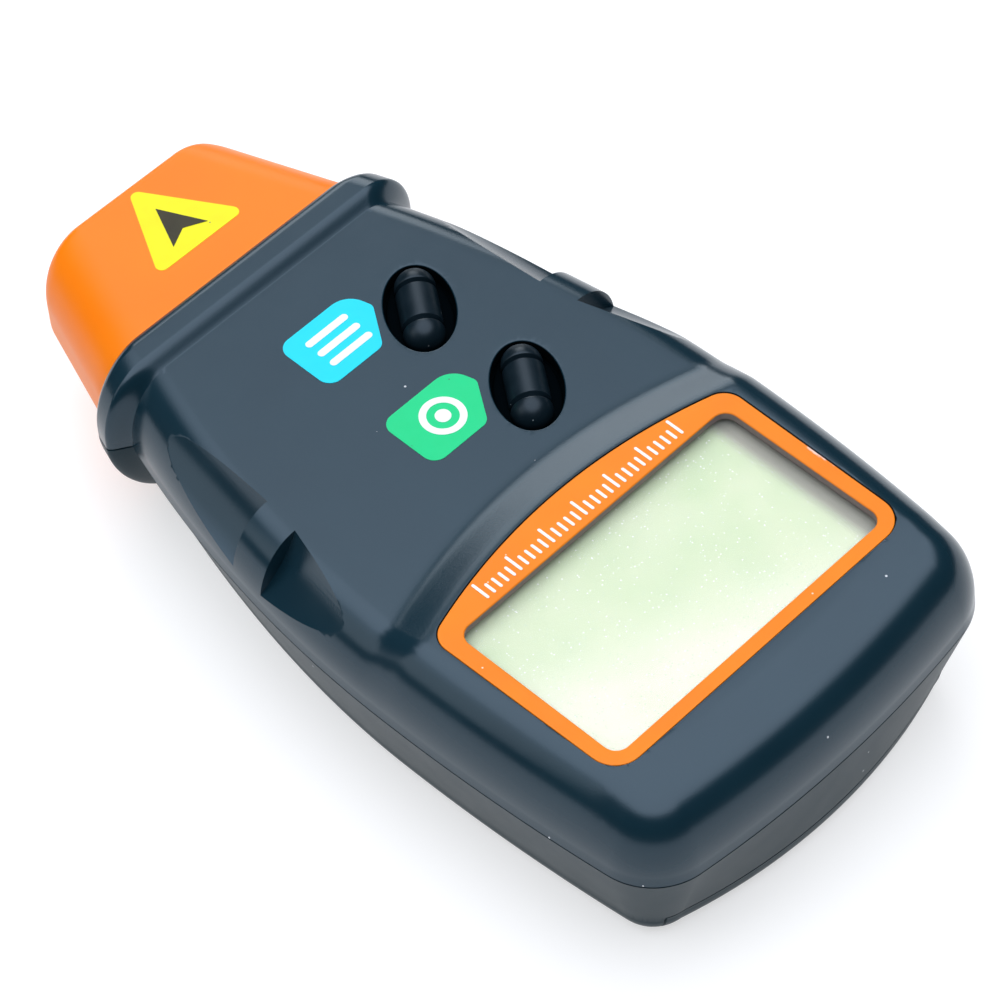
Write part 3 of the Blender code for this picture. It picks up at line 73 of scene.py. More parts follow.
# Plan of the shells
WIDEST_Y = TAIL_Y + 47.5
NECK_HALF_WIDTH = 26.4
NECK_Y = NOSE_Y - 29.5
HIP_HALF_WIDTH = BODY_HALF_WIDTH - 1.7
HIP_Y = TAIL_Y + 14.5
TAIL_BOW_RADIUS = 176.0
TAIL_CORNER_RADIUS = 9.4

# Section of the shells
WALL = 2.0
FACE_Z = 27.4
TAIL_EDGE_Z = 28.2
PARTING_Z = 17.3
SEAM = 0.3
UPPER_RIM_Z = PARTING_Z + SEAM / 2
LOWER_RIM_Z = PARTING_Z - SEAM / 2
SHOULDER_START_Z = 18.6
SHOULDER_WIDTH = 6.8
UPPER_DRAFT = 0.15
SIDE_LEAN = 3.4
CORNER_LEAN = 3.5
TAIL_LEAN = 1.6
BACK_EDGE_RADIUS = 4.5
BACK_LIFT = 3.0
BACK_LIFT_START_Y = TAIL_Y + 49.5

# The step from the face up to the display
RAMP_FOOT_Y = TAIL_Y + 50.5
RAMP_TOP_Y = RAMP_FOOT_Y - 5.2
RAMP_BOW = 4.6
RAMP_EDGE = 0.12
DISPLAY_TAIL_Y = TAIL_Y + 13.9
DISPLAY_TAIL_BOW = 2.8

# Collar
COLLAR_FRONT_Y = NOSE_Y - 21.5
COLLAR_LIP_Y = COLLAR_FRONT_Y - 2.2
COLLAR_CREST_Y = COLLAR_FRONT_Y - 4.4
COLLAR_BACK_Y = COLLAR_FRONT_Y - 7.6
COLLAR_RISE = 1.3
COLLAR_BURIED = 0.3
COLLAR_HALF_WIDTH = NECK_HALF_WIDTH + 2.2
COLLAR_WALL = 1.1
COLLAR_SIDE_WALL = 1.9
COLLAR_FRONT_WALL = 2.0
COLLAR_BACK_WALL = 0.8
COLLAR_LOW_ROUNDNESS = 1.2
SHELL_FRONT_Y = COLLAR_FRONT_Y - 1.0

# Grip scoops
RIB_FRONT_Y = 11.0
RIB_BACK_Y = RIB_FRONT_Y - 6.0
SCOOP_FRONT_TIP_Y = COLLAR_BACK_Y - 5.4
SCOOP_BACK_TIP_Y = RAMP_FOOT_Y + 4.5
SCOOP_RADIUS = 13.3
SCOOP_INNER_FROM_EDGE = 7.2
SCOOP_OUTER_FROM_EDGE = 0.35
SCOOP_OUTER_Z = 20.4
SCOOP_DEPTH = 3.1
SCOOP_WALL = 1.6
SCOOP_OVERSHOOT = 0.25

# Nose cap
CAP_TOP_Z = 26.7
CAP_BOTTOM_Z = 8.3
CAP_ROOT_HALF_WIDTH = COLLAR_HALF_WIDTH - 4.0
CAP_TIP_HALF_WIDTH = CAP_ROOT_HALF_WIDTH - 7.7
CAP_TOP_EDGE = 8.0
CAP_LOW_EDGE = 6.8
CAP_FRONT_SIDE_EDGE = 3.2
CAP_FRONT_TOP_EDGE = 1.4
CAP_FRONT_LOW_EDGE = 3.6
CAP_LEAST_EDGE = 0.6
CAP_WALL = 2.0
CAP_FRONT_WALL = 3.1
CAP_FLANGE_RISE = 0.6
CAP_FLANGE_THICKNESS = 1.3
CAP_ROOT_Y = COLLAR_FRONT_Y - COLLAR_FRONT_WALL - FIT - CAP_FLANGE_THICKNESS
CAP_ROOM_FRONT_Y = NOSE_Y - CAP_FRONT_WALL
OPTIC_AXIS_Z = 17.0
SLOT_LENGTH = 21.0
SLOT_HEIGHT = 9.6
SLOT_RIM = 0.5
NEARLY_ROUND = 0.99
WINDOW_RIM = 1.2
WINDOW_THICKNESS = 1.5

# Display
WINDOW_WIDTH = 2 * BODY_HALF_WIDTH - 20.5
WINDOW_HEIGHT = 27.1
WINDOW_CENTRE_Y = TAIL_Y + 29.25
WINDOW_CORNER = 2.0
FRAME_TOP_HALF_WIDTH = WINDOW_WIDTH / 2 + 2.65
FRAME_TAIL_HALF_WIDTH = WINDOW_WIDTH / 2 + 2.25
FRAME_SIDE_Y = WINDOW_CENTRE_Y + WINDOW_HEIGHT / 2 + 2.8
FRAME_CROWN_Y = FRAME_SIDE_Y + 3.7
FRAME_TAIL_Y = WINDOW_CENTRE_Y - WINDOW_HEIGHT / 2 - 2.1
FRAME_TOP_CORNER = 3.2
FRAME_TAIL_CORNER = 4.0
FRAME_TOP_CORNER_SWEEP = math.radians(72.0)
FRAME_THICKNESS = 1.3
FRAME_TOP_Z = DISPLAY_Z - 0.1
FRAME_EDGE = 0.12
WINDOW_EDGE = 0.2
SEAT_GAP = 0.12
SEAT_EDGE = 0.08
LCD_WIDTH = WINDOW_WIDTH + 2.5
LCD_HEIGHT = WINDOW_HEIGHT + 2.5
LCD_CORNER = 1.0

# Keys
KEY_X = 11.2
KEY_UPPER_Y = COLLAR_BACK_Y - 16.8
KEY_PITCH = 19.8
KEY_TILT = math.radians(53.5)
KEY_OVAL_LENGTH = 15.4
KEY_OVAL_WIDTH = 9.7
KEY_GRIP_LENGTH = 13.7
KEY_GRIP_WIDTH = 5.7
KEY_CROWN_Z = 29.0
KEY_DECK_Z = FACE_Z - 1.9
KEY_FLANGE_RIM = 1.0
KEY_FLANGE_TOP_Z = FACE_Z - WALL - FIT
KEY_FLANGE_THICKNESS = 0.8
KEY_GRIP_AHEAD = 0.45
GRIP_END_TURN = math.radians(6.0)
KEY_GROOVE_FROM_MIDDLE = 3.3
KEY_GROOVE_WIDTH = 0.5
KEY_GROOVE_DEPTH = 0.75
KEY_NIB_DIAMETER = 3.0
KEY_HOLE_EDGE = 0.2
KEY_DECK_EDGE = 0.4
KEY_OVERLAP = 0.4
KEY_WALL_TOP_Z = FACE_Z - 0.15
KEY_PLACES = {"upper_key": KEY_UPPER_Y, "lower_key": KEY_UPPER_Y - KEY_PITCH}

# Screws and posts under the front shell
SCREW_STATIONS = (COLLAR_BACK_Y - 5.0, RAMP_FOOT_Y + 1.6)
SCREW_FROM_SIDE = 10.5
BOSS_DIAMETER = 6.4
BOSS_BORE = 3.2
BOSS_BORE_DEPTH = 6.45
BOARD_SCREW_X = -17.5
BOARD_SCREW_STATIONS = (COLLAR_BACK_Y - 24.4, RAMP_FOOT_Y + 6.0)
POST_DIAMETER = 4.6
POST_BORE = 2.4
POST_LOW_Z = 22.7

# Battery bay and its door
DOOR_HALF_WIDTH = BODY_HALF_WIDTH - 8.5
DOOR_FRONT_Y = TAIL_Y + 37.5
DOOR_THICKNESS = 2.0
DOOR_LIP_TOP_Z = 4.9
DOOR_LIP_INNER_Y = TAIL_Y + 7.5
DOOR_TONGUE_REACH = 0.7
DOOR_TONGUE_LOW_Z = 1.2
DOOR_TONGUE_HIGH_Z = 1.9
DOOR_GRIP_COUNT = 5
DOOR_GRIP_PITCH = 2.2
DOOR_GRIP_DEPTH = 0.5
DOOR_GRIP_HALF_LENGTH = 9.0
DOOR_GRIP_Y = DOOR_FRONT_Y - 9.5
DOOR_HOLE_HALF_WIDTH = DOOR_HALF_WIDTH + FIT
RAIL_HALF_WIDTH = DOOR_HOLE_HALF_WIDTH + 2.6
RAIL_TOP_Z = 4.0
BATTERY_CENTRE_Y = TAIL_Y + 22.4
STUD_TIP_X = 24.25
BAY_LEFT_X = -24.55
BAY_RIGHT_X = STUD_TIP_X + 1.1
BAY_HALF_DEPTH = 13.4
BAY_CEILING_Z = 19.6
BOX_CEILING = 1.2
BOX_WALL = 1.4
BOX_INSET_IN_FRONT = 3.2
BOX_UNDER_RIM = 0.4
CONTACT_HALF_WIDTH = 2.5
CONTACT_FROM_CENTRE = 6.35
SHANK_HOLE = 3.2
HEAD_HOLE = 5.4
SCREW_SEAT_Z = 9.0

# How far a cutter goes past what it cuts
PAST = 1.0

# Print: ink lies this thick on what carries it
INK = 0.05
INK_ROOT = 0.15

# How finely curves are cut
SIDE_STEP = 0.9
CORNER_STEPS = 26
SHOULDER_STEPS = 26
FACE_COLUMNS = 44
ROOM_COLUMNS = 6
ROOM_STEPS = 6
BACK_COLUMNS = 24
BACK_EDGE_STEPS = 14
ROOM_SHOULDER_STEPS = 8
COLLAR_STEPS = 16
SCOOP_STEPS = 140
ROUND_STEPS = 48
FRONT_STEPS = 16
CAP_STATIONS = 6
OVAL_STEPS = 96
SLOT_END_STEPS = 14
WINDOW_CORNER_STEPS = 12
FRAME_CORNER_STEPS = 12
BAR_END_STEPS = 8
CORNER_TRIES = 60
GRIP_END_STEPS = 14
GRIP_BAR_STEPS = 56
GRIP_ARC_STEPS = 33
EDGE_STEPS = 6
BOW_STEPS = 40
DRAPE_RINGS = 24
DRAPE_LEAST = 0.02
SHARP = math.radians(32.0)
# Points of one surface that lie this near are one point, in metres, and faces that bend less than
# this are flat
SAME_PLACE = 2e-6
FLAT = math.radians(0.05)


# Curves and grids

def blend(t, start, end):
    """A straight change from start to end as t goes from 0 to 1."""
    return start + (end - start) * np.clip(t, 0.0, 1.0)


def smooth(t):
    """Eases from 0 to 1: 3t squared less 2t cubed."""
    t = np.clip(t, 0.0, 1.0)
    return t * t * (3 - 2 * t)


def soft_step(t, edge):
    """A straight change from 0 to 1, its corners rounded by parabolas of half-width edge."""
    low, high = (
        np.where(np.abs(s) < edge, (s + edge) ** 2 / (4 * edge), np.maximum(s, 0.0))
        for s in (t, t - 1)
    )
    return low - high


def quarter(steps):
    """Turns from 0 to a right angle."""
    return np.linspace(0, np.pi / 2, steps + 1)


def rim(edge):
    """Steps round a rim's quarter circle: edge times one less the cosine of the turn across, and
    edge times one less the sine down."""
    turns = quarter(EDGE_STEPS)
    return zip(edge * (1 - np.cos(turns)), edge * (1 - np.sin(turns)))


def upright(outline, z):
    """An outline in X and Y at a height."""
    return np.column_stack([outline, np.full(len(outline), z)])


def section(line, y):
    """An outline in X and Z at a station along Y."""
    return np.column_stack([line[:, 0], np.full(len(line), y), line[:, 1]])


def placed(name, data):
    """A new object in the scene that holds this mesh, camera or light."""
    made = bpy.data.objects.new(name, data)
    bpy.context.scene.collection.objects.link(made)
    return made


def solid(name, sheets, caps=(), closed=False):
    """A closed mesh: grids of points joined by quads, and loops of points closed by one face.

    Points that lie together are merged, faces that are not flat are split, and all are turned
    outwards.
    """
    points, faces, start = [], [], 0
    for grid in sheets:
        rows, columns = grid.shape[:2]
        index = start + np.arange(rows * columns).reshape(rows, columns)
        if closed:
            index = np.hstack([index, index[:, :1]])
        quads = np.stack([index[:-1, :-1], index[:-1, 1:], index[1:, 1:], index[1:, :-1]], -1)
        faces += quads.reshape(-1, 4).tolist()
        points.append(grid.reshape(-1, 3))
        start += rows * columns
    for cap in caps:
        faces.append(list(range(start, start + len(cap))))
        points.append(cap)
        start += len(cap)
    mesh = bpy.data.meshes.new(name)
    mesh.from_pydata((np.concatenate(points) * MM).tolist(), [], faces)
    shape = bmesh.new()
    shape.from_mesh(mesh)
    bmesh.ops.remove_doubles(shape, verts=shape.verts, dist=SAME_PLACE)
    bmesh.ops.dissolve_degenerate(shape, edges=shape.edges, dist=SAME_PLACE / 20)
    bmesh.ops.connect_verts_nonplanar(shape, angle_limit=FLAT, faces=shape.faces)
    bmesh.ops.recalc_face_normals(shape, faces=shape.faces)
    shape.to_mesh(mesh)
    shape.free()
    return placed(name, mesh)


def loft(name, rings):
    """A closed solid through rings of equally many points, with a flat end at each end."""
    rings = np.asarray(rings, float)
    return solid(name, [rings], (rings[0], rings[-1]), closed=True)


def prism(name, outline, low, high):
    return loft(name, [upright(outline, z) for z in (low, high)])


def rimmed_prism(name, outline_of, low, high, edge, way=-1):
    """A prism whose outline draws in round a rim at its top, or where the way is 1 flares, as a
    cutter that leaves a rounded rim, and goes on straight."""
    rings = [upright(outline_of(0.0), low)]
    rings += [upright(outline_of(way * across), high - down) for across, down in rim(edge)]
    if way > 0:
        rings.append(upright(outline_of(edge), high + PAST))
    return loft(name, rings)


def bar_along_x(name, outline, low, high):
    """A prism along X on an outline in Y and Z."""
    outline = np.asarray(outline, float)
    return loft(name, [np.column_stack([np.full(len(outline), x), outline]) for x in (low, high)])


def cutter(name, low, high):
    """A cutter or a wall between two opposite corners."""
    (y0, z0), (y1, z1) = low[1:], high[1:]
    return bar_along_x(name, [(y0, z0), (y1, z0), (y1, z1), (y0, z1)], low[0], high[0])


def round_turns(steps):
    """Turns all the way round."""
    return np.arange(steps) * 2 * np.pi / steps


def circle(centre_a, centre_b, diameter, steps=ROUND_STEPS):
    turns = round_turns(steps)
    arc = np.column_stack([np.cos(turns), np.sin(turns)]) * diameter / 2
    return arc + (centre_a, centre_b)


def mirrored(right, *middle):
    """The right half of an outline, what lies in its middle, and its left half."""
    return np.concatenate([right, *middle, right[::-1] * (-1, 1)])


def rounded_polygon(corners, radii, steps=8):
    """An outline whose corners are arcs that touch both of their sides, round to the left."""
    corners = np.asarray(corners, float)
    points = []
    for i, (corner, radius) in enumerate(zip(corners, radii)):
        before = corners[i - 1] - corner
        after = corners[(i + 1) % len(corners)] - corner
        before /= np.linalg.norm(before)
        after /= np.linalg.norm(after)
        half = np.arccos(np.clip(before @ after, -1, 1)) / 2
        middle = (before + after) / np.linalg.norm(before + after)
        centre = corner + middle * radius / np.sin(half)
        towards = math.atan2(-middle[1], -middle[0])
        turns = towards + np.linspace(-1, 1, steps + 1) * (np.pi / 2 - half)
        points.append(centre + radius * np.column_stack([np.cos(turns), np.sin(turns)]))
    return np.concatenate(points)


def rounded_rectangle(centre_x, centre_y, width, height, radius, steps=8):
    x = np.array([1, -1, -1, 1]) * width / 2 + centre_x
    y = np.array([1, 1, -1, -1]) * height / 2 + centre_y
    return rounded_polygon(np.column_stack([x, y]), [radius] * 4, steps)


def turned(along, across, tilt, centre_x, centre_y):
    """Places along and across a line that is tilted from X, about a centre."""
    x = centre_x + along * np.cos(tilt) - across * np.sin(tilt)
    return np.stack([x, centre_y + along * np.sin(tilt) + across * np.cos(tilt)], -1)


# Cuts and joins

def combine(how, body, others):
    """Joins or cuts one closed mesh with others in turn, and removes them."""
    for other in others:
        step = body.modifiers.new(how.lower(), "BOOLEAN")
        step.operation = how
        step.solver = "EXACT"
        step.object = other
        bpy.context.view_layer.update()
        view = bpy.context.evaluated_depsgraph_get()
        result = bpy.data.meshes.new_from_object(body.evaluated_get(view))
        body.modifiers.clear()
        body.data = result
        bpy.data.objects.remove(other, do_unlink=True)
    return body


def cut(body, *cutters):
    return combine("DIFFERENCE", body, cutters)


def join(body, *pieces):
    return combine("UNION", body, pieces)


def together(pieces):
    """One object from several meshes that stand apart."""
    shape = bmesh.new()
    for piece in pieces:
        shape.from_mesh(piece.data)
    first = pieces[0]
    shape.to_mesh(first.data)
    shape.free()
    for piece in pieces[1:]:
        bpy.data.objects.remove(piece, do_unlink=True)
    return first


def dress(piece, material, body, nodes=()):
    """Gives a finished piece its material, its shading and the body that it rides on."""
    mesh = piece.data
    mesh.materials.clear()
    mesh.materials.append(material)
    mesh.shade_smooth()
    mesh.set_sharp_from_angle(angle=SHARP)
    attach(piece, body)
    if nodes:
        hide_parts(*nodes)
    return piece


def weighted(piece):
    """Lets large flat faces settle the shading of the narrow ones beside them."""
    step = piece.modifiers.new("even_shading", "WEIGHTED_NORMAL")
    step.keep_sharp = True
    return piece


# Materials

# Between these values the noise lies nearly everywhere
NOISE_LOW, NOISE_HIGH = 0.3, 0.7
# How far a plastic's roughness drifts either way
GLOSS_DRIFT = 0.012
# How much the display's bands lean: travel along Y for travel across
PANEL_SLANT = 0.35


def linear(code):
    """Linear colour of an sRGB hex code."""
    value = np.array([int(code[i:i + 2], 16) for i in (0, 2, 4)]) / 255.0
    low = value / 12.92
    high = ((value + 0.055) / 1.055) ** 2.4
    return (*np.where(value <= 0.04045, low, high).tolist(), 1.0)


def give(tree, node, inputs):
    """Fills a node's inputs; each is given a value, or a socket to link from."""
    for key, value in dict(inputs).items():
        if isinstance(value, bpy.types.NodeSocket):
            tree.links.new(value, node.inputs[key])
        else:
            node.inputs[key].default_value = value


def add(tree, kind, inputs=(), **settings):
    """Adds a node with its settings and its inputs."""
    made = tree.nodes.new(kind)
    for key, value in settings.items():
        setattr(made, key, value)
    give(tree, made, inputs)
    return made


class Finish:
    """A material in the making, on Object coordinates, with all sizes in millimetres. What is the
    same all over is set on the shader."""

    def __init__(self, name, sockets=()):
        self.material = bpy.data.materials.new(name)
        self.material.use_nodes = True
        self.tree = self.material.node_tree
        self.shader = self.tree.nodes["Principled BSDF"]
        give(self.tree, self.shader, sockets)
        self.place = self.add("ShaderNodeTexCoord").outputs["Object"]

    def add(self, kind, inputs=(), **settings):
        return add(self.tree, kind, inputs, **settings)

    def pattern(self, kind, size):
        """A pattern with features of this size."""
        return self.add(kind, {"Vector": self.place, "Scale": 1 / (size * MM)})

    def along(self, axis):
        return self.add("ShaderNodeSeparateXYZ", {0: self.place}).outputs[axis]

    def maths(self, operation, *values):
        return self.add("ShaderNodeMath", dict(enumerate(values)), operation=operation).outputs[0]

    def ramp(self, value, start, end, low=0.0, high=1.0, how="LINEAR"):
        """Goes from low to high while a value goes from start to end."""
        spread = {"Value": value, "From Min": start, "From Max": end, "To Min": low, "To Max": high}
        return self.add("ShaderNodeMapRange", spread, interpolation_type=how).outputs["Result"]

    def drift(self, size, low=0.0, high=1.0):
        """A number that wanders between two values over patches of this size."""
        noise = self.pattern("ShaderNodeTexNoise", size)
        return self.ramp(noise.outputs["Fac"], NOISE_LOW, NOISE_HIGH, low, high)

    def mixed(self, factor, first, second):
        """Blends two colours, each a socket or a hex code."""
        inputs = {0: factor}
        for slot, tone in ((6, first), (7, second)):
            inputs[slot] = linear(tone) if isinstance(tone, str) else tone
        return self.add("ShaderNodeMix", inputs, data_type="RGBA").outputs[2]

    def specks(self, spacing, size, share):
        """1 on dots of this size, on a share of the cells of this spacing, and 0 elsewhere."""
        cells = self.pattern("ShaderNodeTexVoronoi", spacing)
        dot = self.maths("LESS_THAN", cells.outputs["Distance"], size / spacing)
        chance = self.add("ShaderNodeSeparateColor", {0: cells.outputs["Color"]}).outputs[0]
        return self.maths("MULTIPLY", dot, self.maths("LESS_THAN", chance, share))

    def done(self, tone, gloss, grain, depth):
        """The finished material, with grain of this size and depth as a bump."""
        noise = self.pattern("ShaderNodeTexNoise", grain).outputs["Fac"]
        relief = {"Height": noise, "Distance": depth * MM, "Strength": 1.0}
        bump = self.add("ShaderNodeBump", relief).outputs[0]
        give(self.tree, self.shader, {"Base Color": tone, "Roughness": gloss, "Normal": bump})
        return self.material


# Outline and section of the body

def side_draw(y):
    """How far the side has drawn in, and its slope: two parabolas that meet where it is widest."""
    ahead = y > WIDEST_Y
    draw = np.where(ahead, BODY_HALF_WIDTH - NECK_HALF_WIDTH, BODY_HALF_WIDTH - HIP_HALF_WIDTH)
    run = np.where(ahead, NECK_Y - WIDEST_Y, HIP_Y - WIDEST_Y)
    share = (y - WIDEST_Y) / run
    return draw * share * share, 2 * draw * share / run


def half_width(y):
    return BODY_HALF_WIDTH - side_draw(y)[0]


def drawn_in(x, y, normal_x, normal_y, inset):
    """Points of a line drawn in by an inset, square to it."""
    normal = np.column_stack([normal_x, normal_y])
    normal /= np.linalg.norm(normal, axis=1, keepdims=True)
    return np.column_stack([x, y]) - normal * np.reshape(inset, (-1, 1))


def side_points(y, inset):
    return drawn_in(half_width(y), y, np.ones_like(y), side_draw(y)[1], inset)


def tail_points(x, inset):
    """The tail is a parabola with its arc's radius."""
    y = TAIL_Y + x * x / (2 * TAIL_BOW_RADIUS)
    return drawn_in(x, y, x / TAIL_BOW_RADIUS, -np.ones_like(x), inset)


def tail_corner():
    """The centre of the arc that touches the side and the tail, and where it touches them: each
    touching place is moved until the two centres agree."""
    side_y = HIP_Y
    tail_x = HIP_HALF_WIDTH - TAIL_CORNER_RADIUS
    for _ in range(CORNER_TRIES):
        from_side = side_points(np.array([side_y]), TAIL_CORNER_RADIUS)[0]
        from_tail = tail_points(np.array([tail_x]), TAIL_CORNER_RADIUS)[0]
        side_y += from_tail[1] - from_side[1]
        tail_x += from_side[0] - from_tail[0]
    return from_side, side_y, tail_x


CORNER_CENTRE, CORNER_SIDE_Y, CORNER_TAIL_X = tail_corner()


def stations(first):
    """Stations down the side from a first one to the tail's corner."""
    count = int((first - CORNER_SIDE_Y) / SIDE_STEP)
    return np.linspace(first, CORNER_SIDE_Y, count + 1)[:-1]


def plan_ring(y, inset, columns, lean=0.0):
    """The body's outline from the nose end round the tail and back, moved in by an inset.

    The lean is the share of the lower walls' own slope: most along the sides, least at the middle
    of the tail.
    """
    side = side_points(y, inset + lean * SIDE_LEAN)
    side[0, 1] = y[0]
    start = math.atan2(side_draw(CORNER_SIDE_Y)[1], 1.0)
    end = math.atan2(-1.0, CORNER_TAIL_X / TAIL_BOW_RADIUS)
    turns = np.linspace(start, end, CORNER_STEPS + 1)
    leans = np.linspace(SIDE_LEAN, CORNER_LEAN, CORNER_STEPS + 1)
    reach = TAIL_CORNER_RADIUS - inset - lean * leans
    corner = CORNER_CENTRE + reach[:, None] * np.column_stack([np.cos(turns), np.sin(turns)])
    right = np.concatenate([side, corner])
    share = 1 - 2 * np.arange(1, columns) / columns
    draw = inset + lean * (TAIL_LEAN + (CORNER_LEAN - TAIL_LEAN) * share * share)
    middle = tail_points(CORNER_TAIL_X * share, draw)
    return mirrored(right, middle)


def lean_share(z):
    """How much of the lower walls' slope there is at a height: none above the parting line."""
    return np.clip((PARTING_Z - z) / (PARTING_Z - BACK_EDGE_RADIUS), 0.0, 1.0)


def back_height(y):
    """Height of the back, which lifts a little towards the nose."""
    return BACK_LIFT * smooth((y - BACK_LIFT_START_Y) / (NECK_Y - BACK_LIFT_START_Y))


def lifted(y, z):
    """A height once the back is lifted: all of the lift at the back, none at the parting line."""
    return z + back_height(y) * np.maximum(1 - z / PARTING_Z, 0.0)


def face_height(y):
    """Height of the face at a rung: the plain face, the ramp, the display, the tail's fall."""
    ramp = soft_step((RAMP_FOOT_Y - y) / (RAMP_FOOT_Y - RAMP_TOP_Y), RAMP_EDGE)
    fall = soft_step((DISPLAY_TAIL_Y - y) / (DISPLAY_TAIL_Y - TAIL_Y - SHOULDER_WIDTH), RAMP_EDGE)
    return FACE_Z + (DISPLAY_Z - FACE_Z) * ramp + (TAIL_EDGE_Z - DISPLAY_Z) * fall


def face_bow(y):
    """How far a rung bends along Y at the middle of the face."""
    last = TAIL_Y + SHOULDER_WIDTH
    knots = (last, DISPLAY_TAIL_Y, RAMP_TOP_Y, RAMP_FOOT_Y, NECK_Y)
    return np.interp(y, knots, (0.0, -DISPLAY_TAIL_BOW, RAMP_BOW, RAMP_BOW, 0.0))


def flat(z):
    """A top that is level at this height."""
    return lambda y: np.full_like(y, z)


def shell_block(name, levels, first_y, columns, top_of, bow_of=np.zeros_like):
    """A slab on the body's outline.

    Each level (inset, share, z) is a ring whose height goes from z to the top's as its share goes
    from 0 to 1. Rungs across the last ring close it; a rung's point at t, from 1 to -1, is at t
    times the rung's end in X, and bent along Y by the bow times one less t squared.
    """
    y = stations(first_y)
    half = len(y) + CORNER_STEPS + 1
    lines = [plan_ring(y, inset, columns, lean_share(z)) for inset, _, z in levels]
    tops = top_of(lines[-1][:, 1])
    rings = np.array([
        np.column_stack([line, lifted(line[:, 1], z + (tops - z) * share)])
        for line, (_, share, z) in zip(lines, levels)
    ])
    t = 1 - 2 * np.arange(columns + 1) / columns
    ends = rings[-1, :half]
    rungs = np.stack([
        ends[:, :1] * t,
        ends[:, 1:2] + bow_of(ends[:, 1:2]) * (1 - t * t),
        np.broadcast_to(ends[:, 2:], (half, columns + 1)),
    ], -1)
    tail = rings[-1, half - 1:half + columns]
    front = np.concatenate([rings[:, 0], rungs[0, 1:-1], rings[::-1, -1]])
    return solid(name, [rings, np.concatenate([rungs, tail[None]])], (rings[0], front))


def shoulder_levels(inset, width, low_z, steps):
    """Rings up the side wall and over the shoulder, a quarter ellipse."""
    return [(inset, 0.0, low_z)] + [
        (inset + UPPER_DRAFT + width * (1 - np.cos(turn)), np.sin(turn), SHOULDER_START_Z)
        for turn in quarter(steps)
    ]


def back_levels(inset, radius, high_z, steps):
    """Rings down the lower side wall and round the edge of the back, a quarter ellipse."""
    edge = BACK_EDGE_RADIUS
    levels = [(inset, 0.0, z) for z in np.linspace(high_z, edge, steps // 2 + 2)[:-1]]
    return levels + [(inset + radius * (1 - np.cos(t)), np.sin(t), edge) for t in quarter(steps)]


def lower_body(name, inset=0.0):
    """The outside of the rear shell, or its inside where the inset is a wall."""
    if inset:
        levels = back_levels(inset, BACK_EDGE_RADIUS - inset, PARTING_Z + inset, ROOM_STEPS)
        return shell_block(name, levels, COLLAR_CREST_Y, ROOM_COLUMNS, flat(inset))
    levels = back_levels(0.0, BACK_EDGE_RADIUS, LOWER_RIM_Z, BACK_EDGE_STEPS)
    return shell_block(name, levels, SHELL_FRONT_Y, BACK_COLUMNS, flat(0.0))


# Collar

def collar_rise(y):
    """How far the collar stands proud: an eased foot, then the crest, then a quarter circle."""
    foot = smooth((y - COLLAR_BACK_Y) / (COLLAR_CREST_Y - COLLAR_BACK_Y))
    rise = -COLLAR_BURIED + (COLLAR_RISE + COLLAR_BURIED) * foot
    radius = COLLAR_FRONT_Y - COLLAR_LIP_Y
    share = np.clip((y - COLLAR_LIP_Y) / radius, 0.0, 1.0)
    return rise - radius * (1 - np.sqrt(1 - share * share))


def half_section(half, start_z, top_z, corner, low_z, steps=SHOULDER_STEPS):
    """A section across the body, up one side, over quarter ellipses at the shoulders and down."""
    turns = quarter(steps)
    x = half - corner * (1 - np.cos(turns))
    right = np.column_stack([x, start_z + (top_z - start_z) * np.sin(turns)])
    return mirrored(np.concatenate([[(half, low_z)], right]))


def low_section(half, rise, high_z):
    """A section of the collar's lower half, with round sides that draw in all the way down: a
    quarter of an ellipse whose sine and cosine are raised to a power a little above one."""
    turns = quarter(SHOULDER_STEPS + 1)
    across = np.maximum(np.cos(turns), 0) ** COLLAR_LOW_ROUNDNESS
    down = np.sin(turns) ** COLLAR_LOW_ROUNDNESS
    x = half - (SIDE_LEAN + SHOULDER_WIDTH + rise) * (1 - across)
    return mirrored(np.column_stack([x, high_z - (high_z - BACK_LIFT + rise) * down]))


def collar_ring(y, half, rise, parting_z, up=True):
    line = low_section(half, rise, parting_z)
    if up:
        line = half_section(half, SHOULDER_START_Z, FACE_Z + rise, SHOULDER_WIDTH + rise, parting_z)
    return section(line, y)


def collar(up=True):
    """The upper or the lower half of the collar."""
    crest = (COLLAR_HALF_WIDTH - half_width(COLLAR_CREST_Y)) / COLLAR_RISE
    shares = np.linspace(0, 1, COLLAR_STEPS + 1)
    foot = blend(shares, COLLAR_BACK_Y, COLLAR_CREST_Y)
    lip = blend(np.sin(np.pi / 2 * shares), COLLAR_LIP_Y, COLLAR_FRONT_Y)
    y = np.concatenate([foot, lip])
    rise = collar_rise(y)
    half = half_width(y) + crest * rise
    parting = UPPER_RIM_Z if up else LOWER_RIM_Z
    return loft("collar", [collar_ring(*row, parting, up) for row in zip(y, half, rise)])


def collar_room(up=True):
    """The room in half of the collar, for the cap's flange."""
    half = COLLAR_HALF_WIDTH - COLLAR_SIDE_WALL
    ends = (COLLAR_CREST_Y - COLLAR_BACK_WALL, COLLAR_FRONT_Y - COLLAR_FRONT_WALL)
    rise = COLLAR_RISE - COLLAR_WALL
    parting = PARTING_Z + (-COLLAR_WALL if up else COLLAR_WALL)
    return loft("collar_room", [collar_ring(y, half, rise, parting, up) for y in ends])


# Nose cap

def turned_in(y, front_y, radius):
    """How far a surface has turned in on a quarter circle that ends at the front."""
    share = np.clip((y - front_y) / radius + 1, 0.0, 1.0)
    return radius * (1 - np.sqrt(1 - share * share))


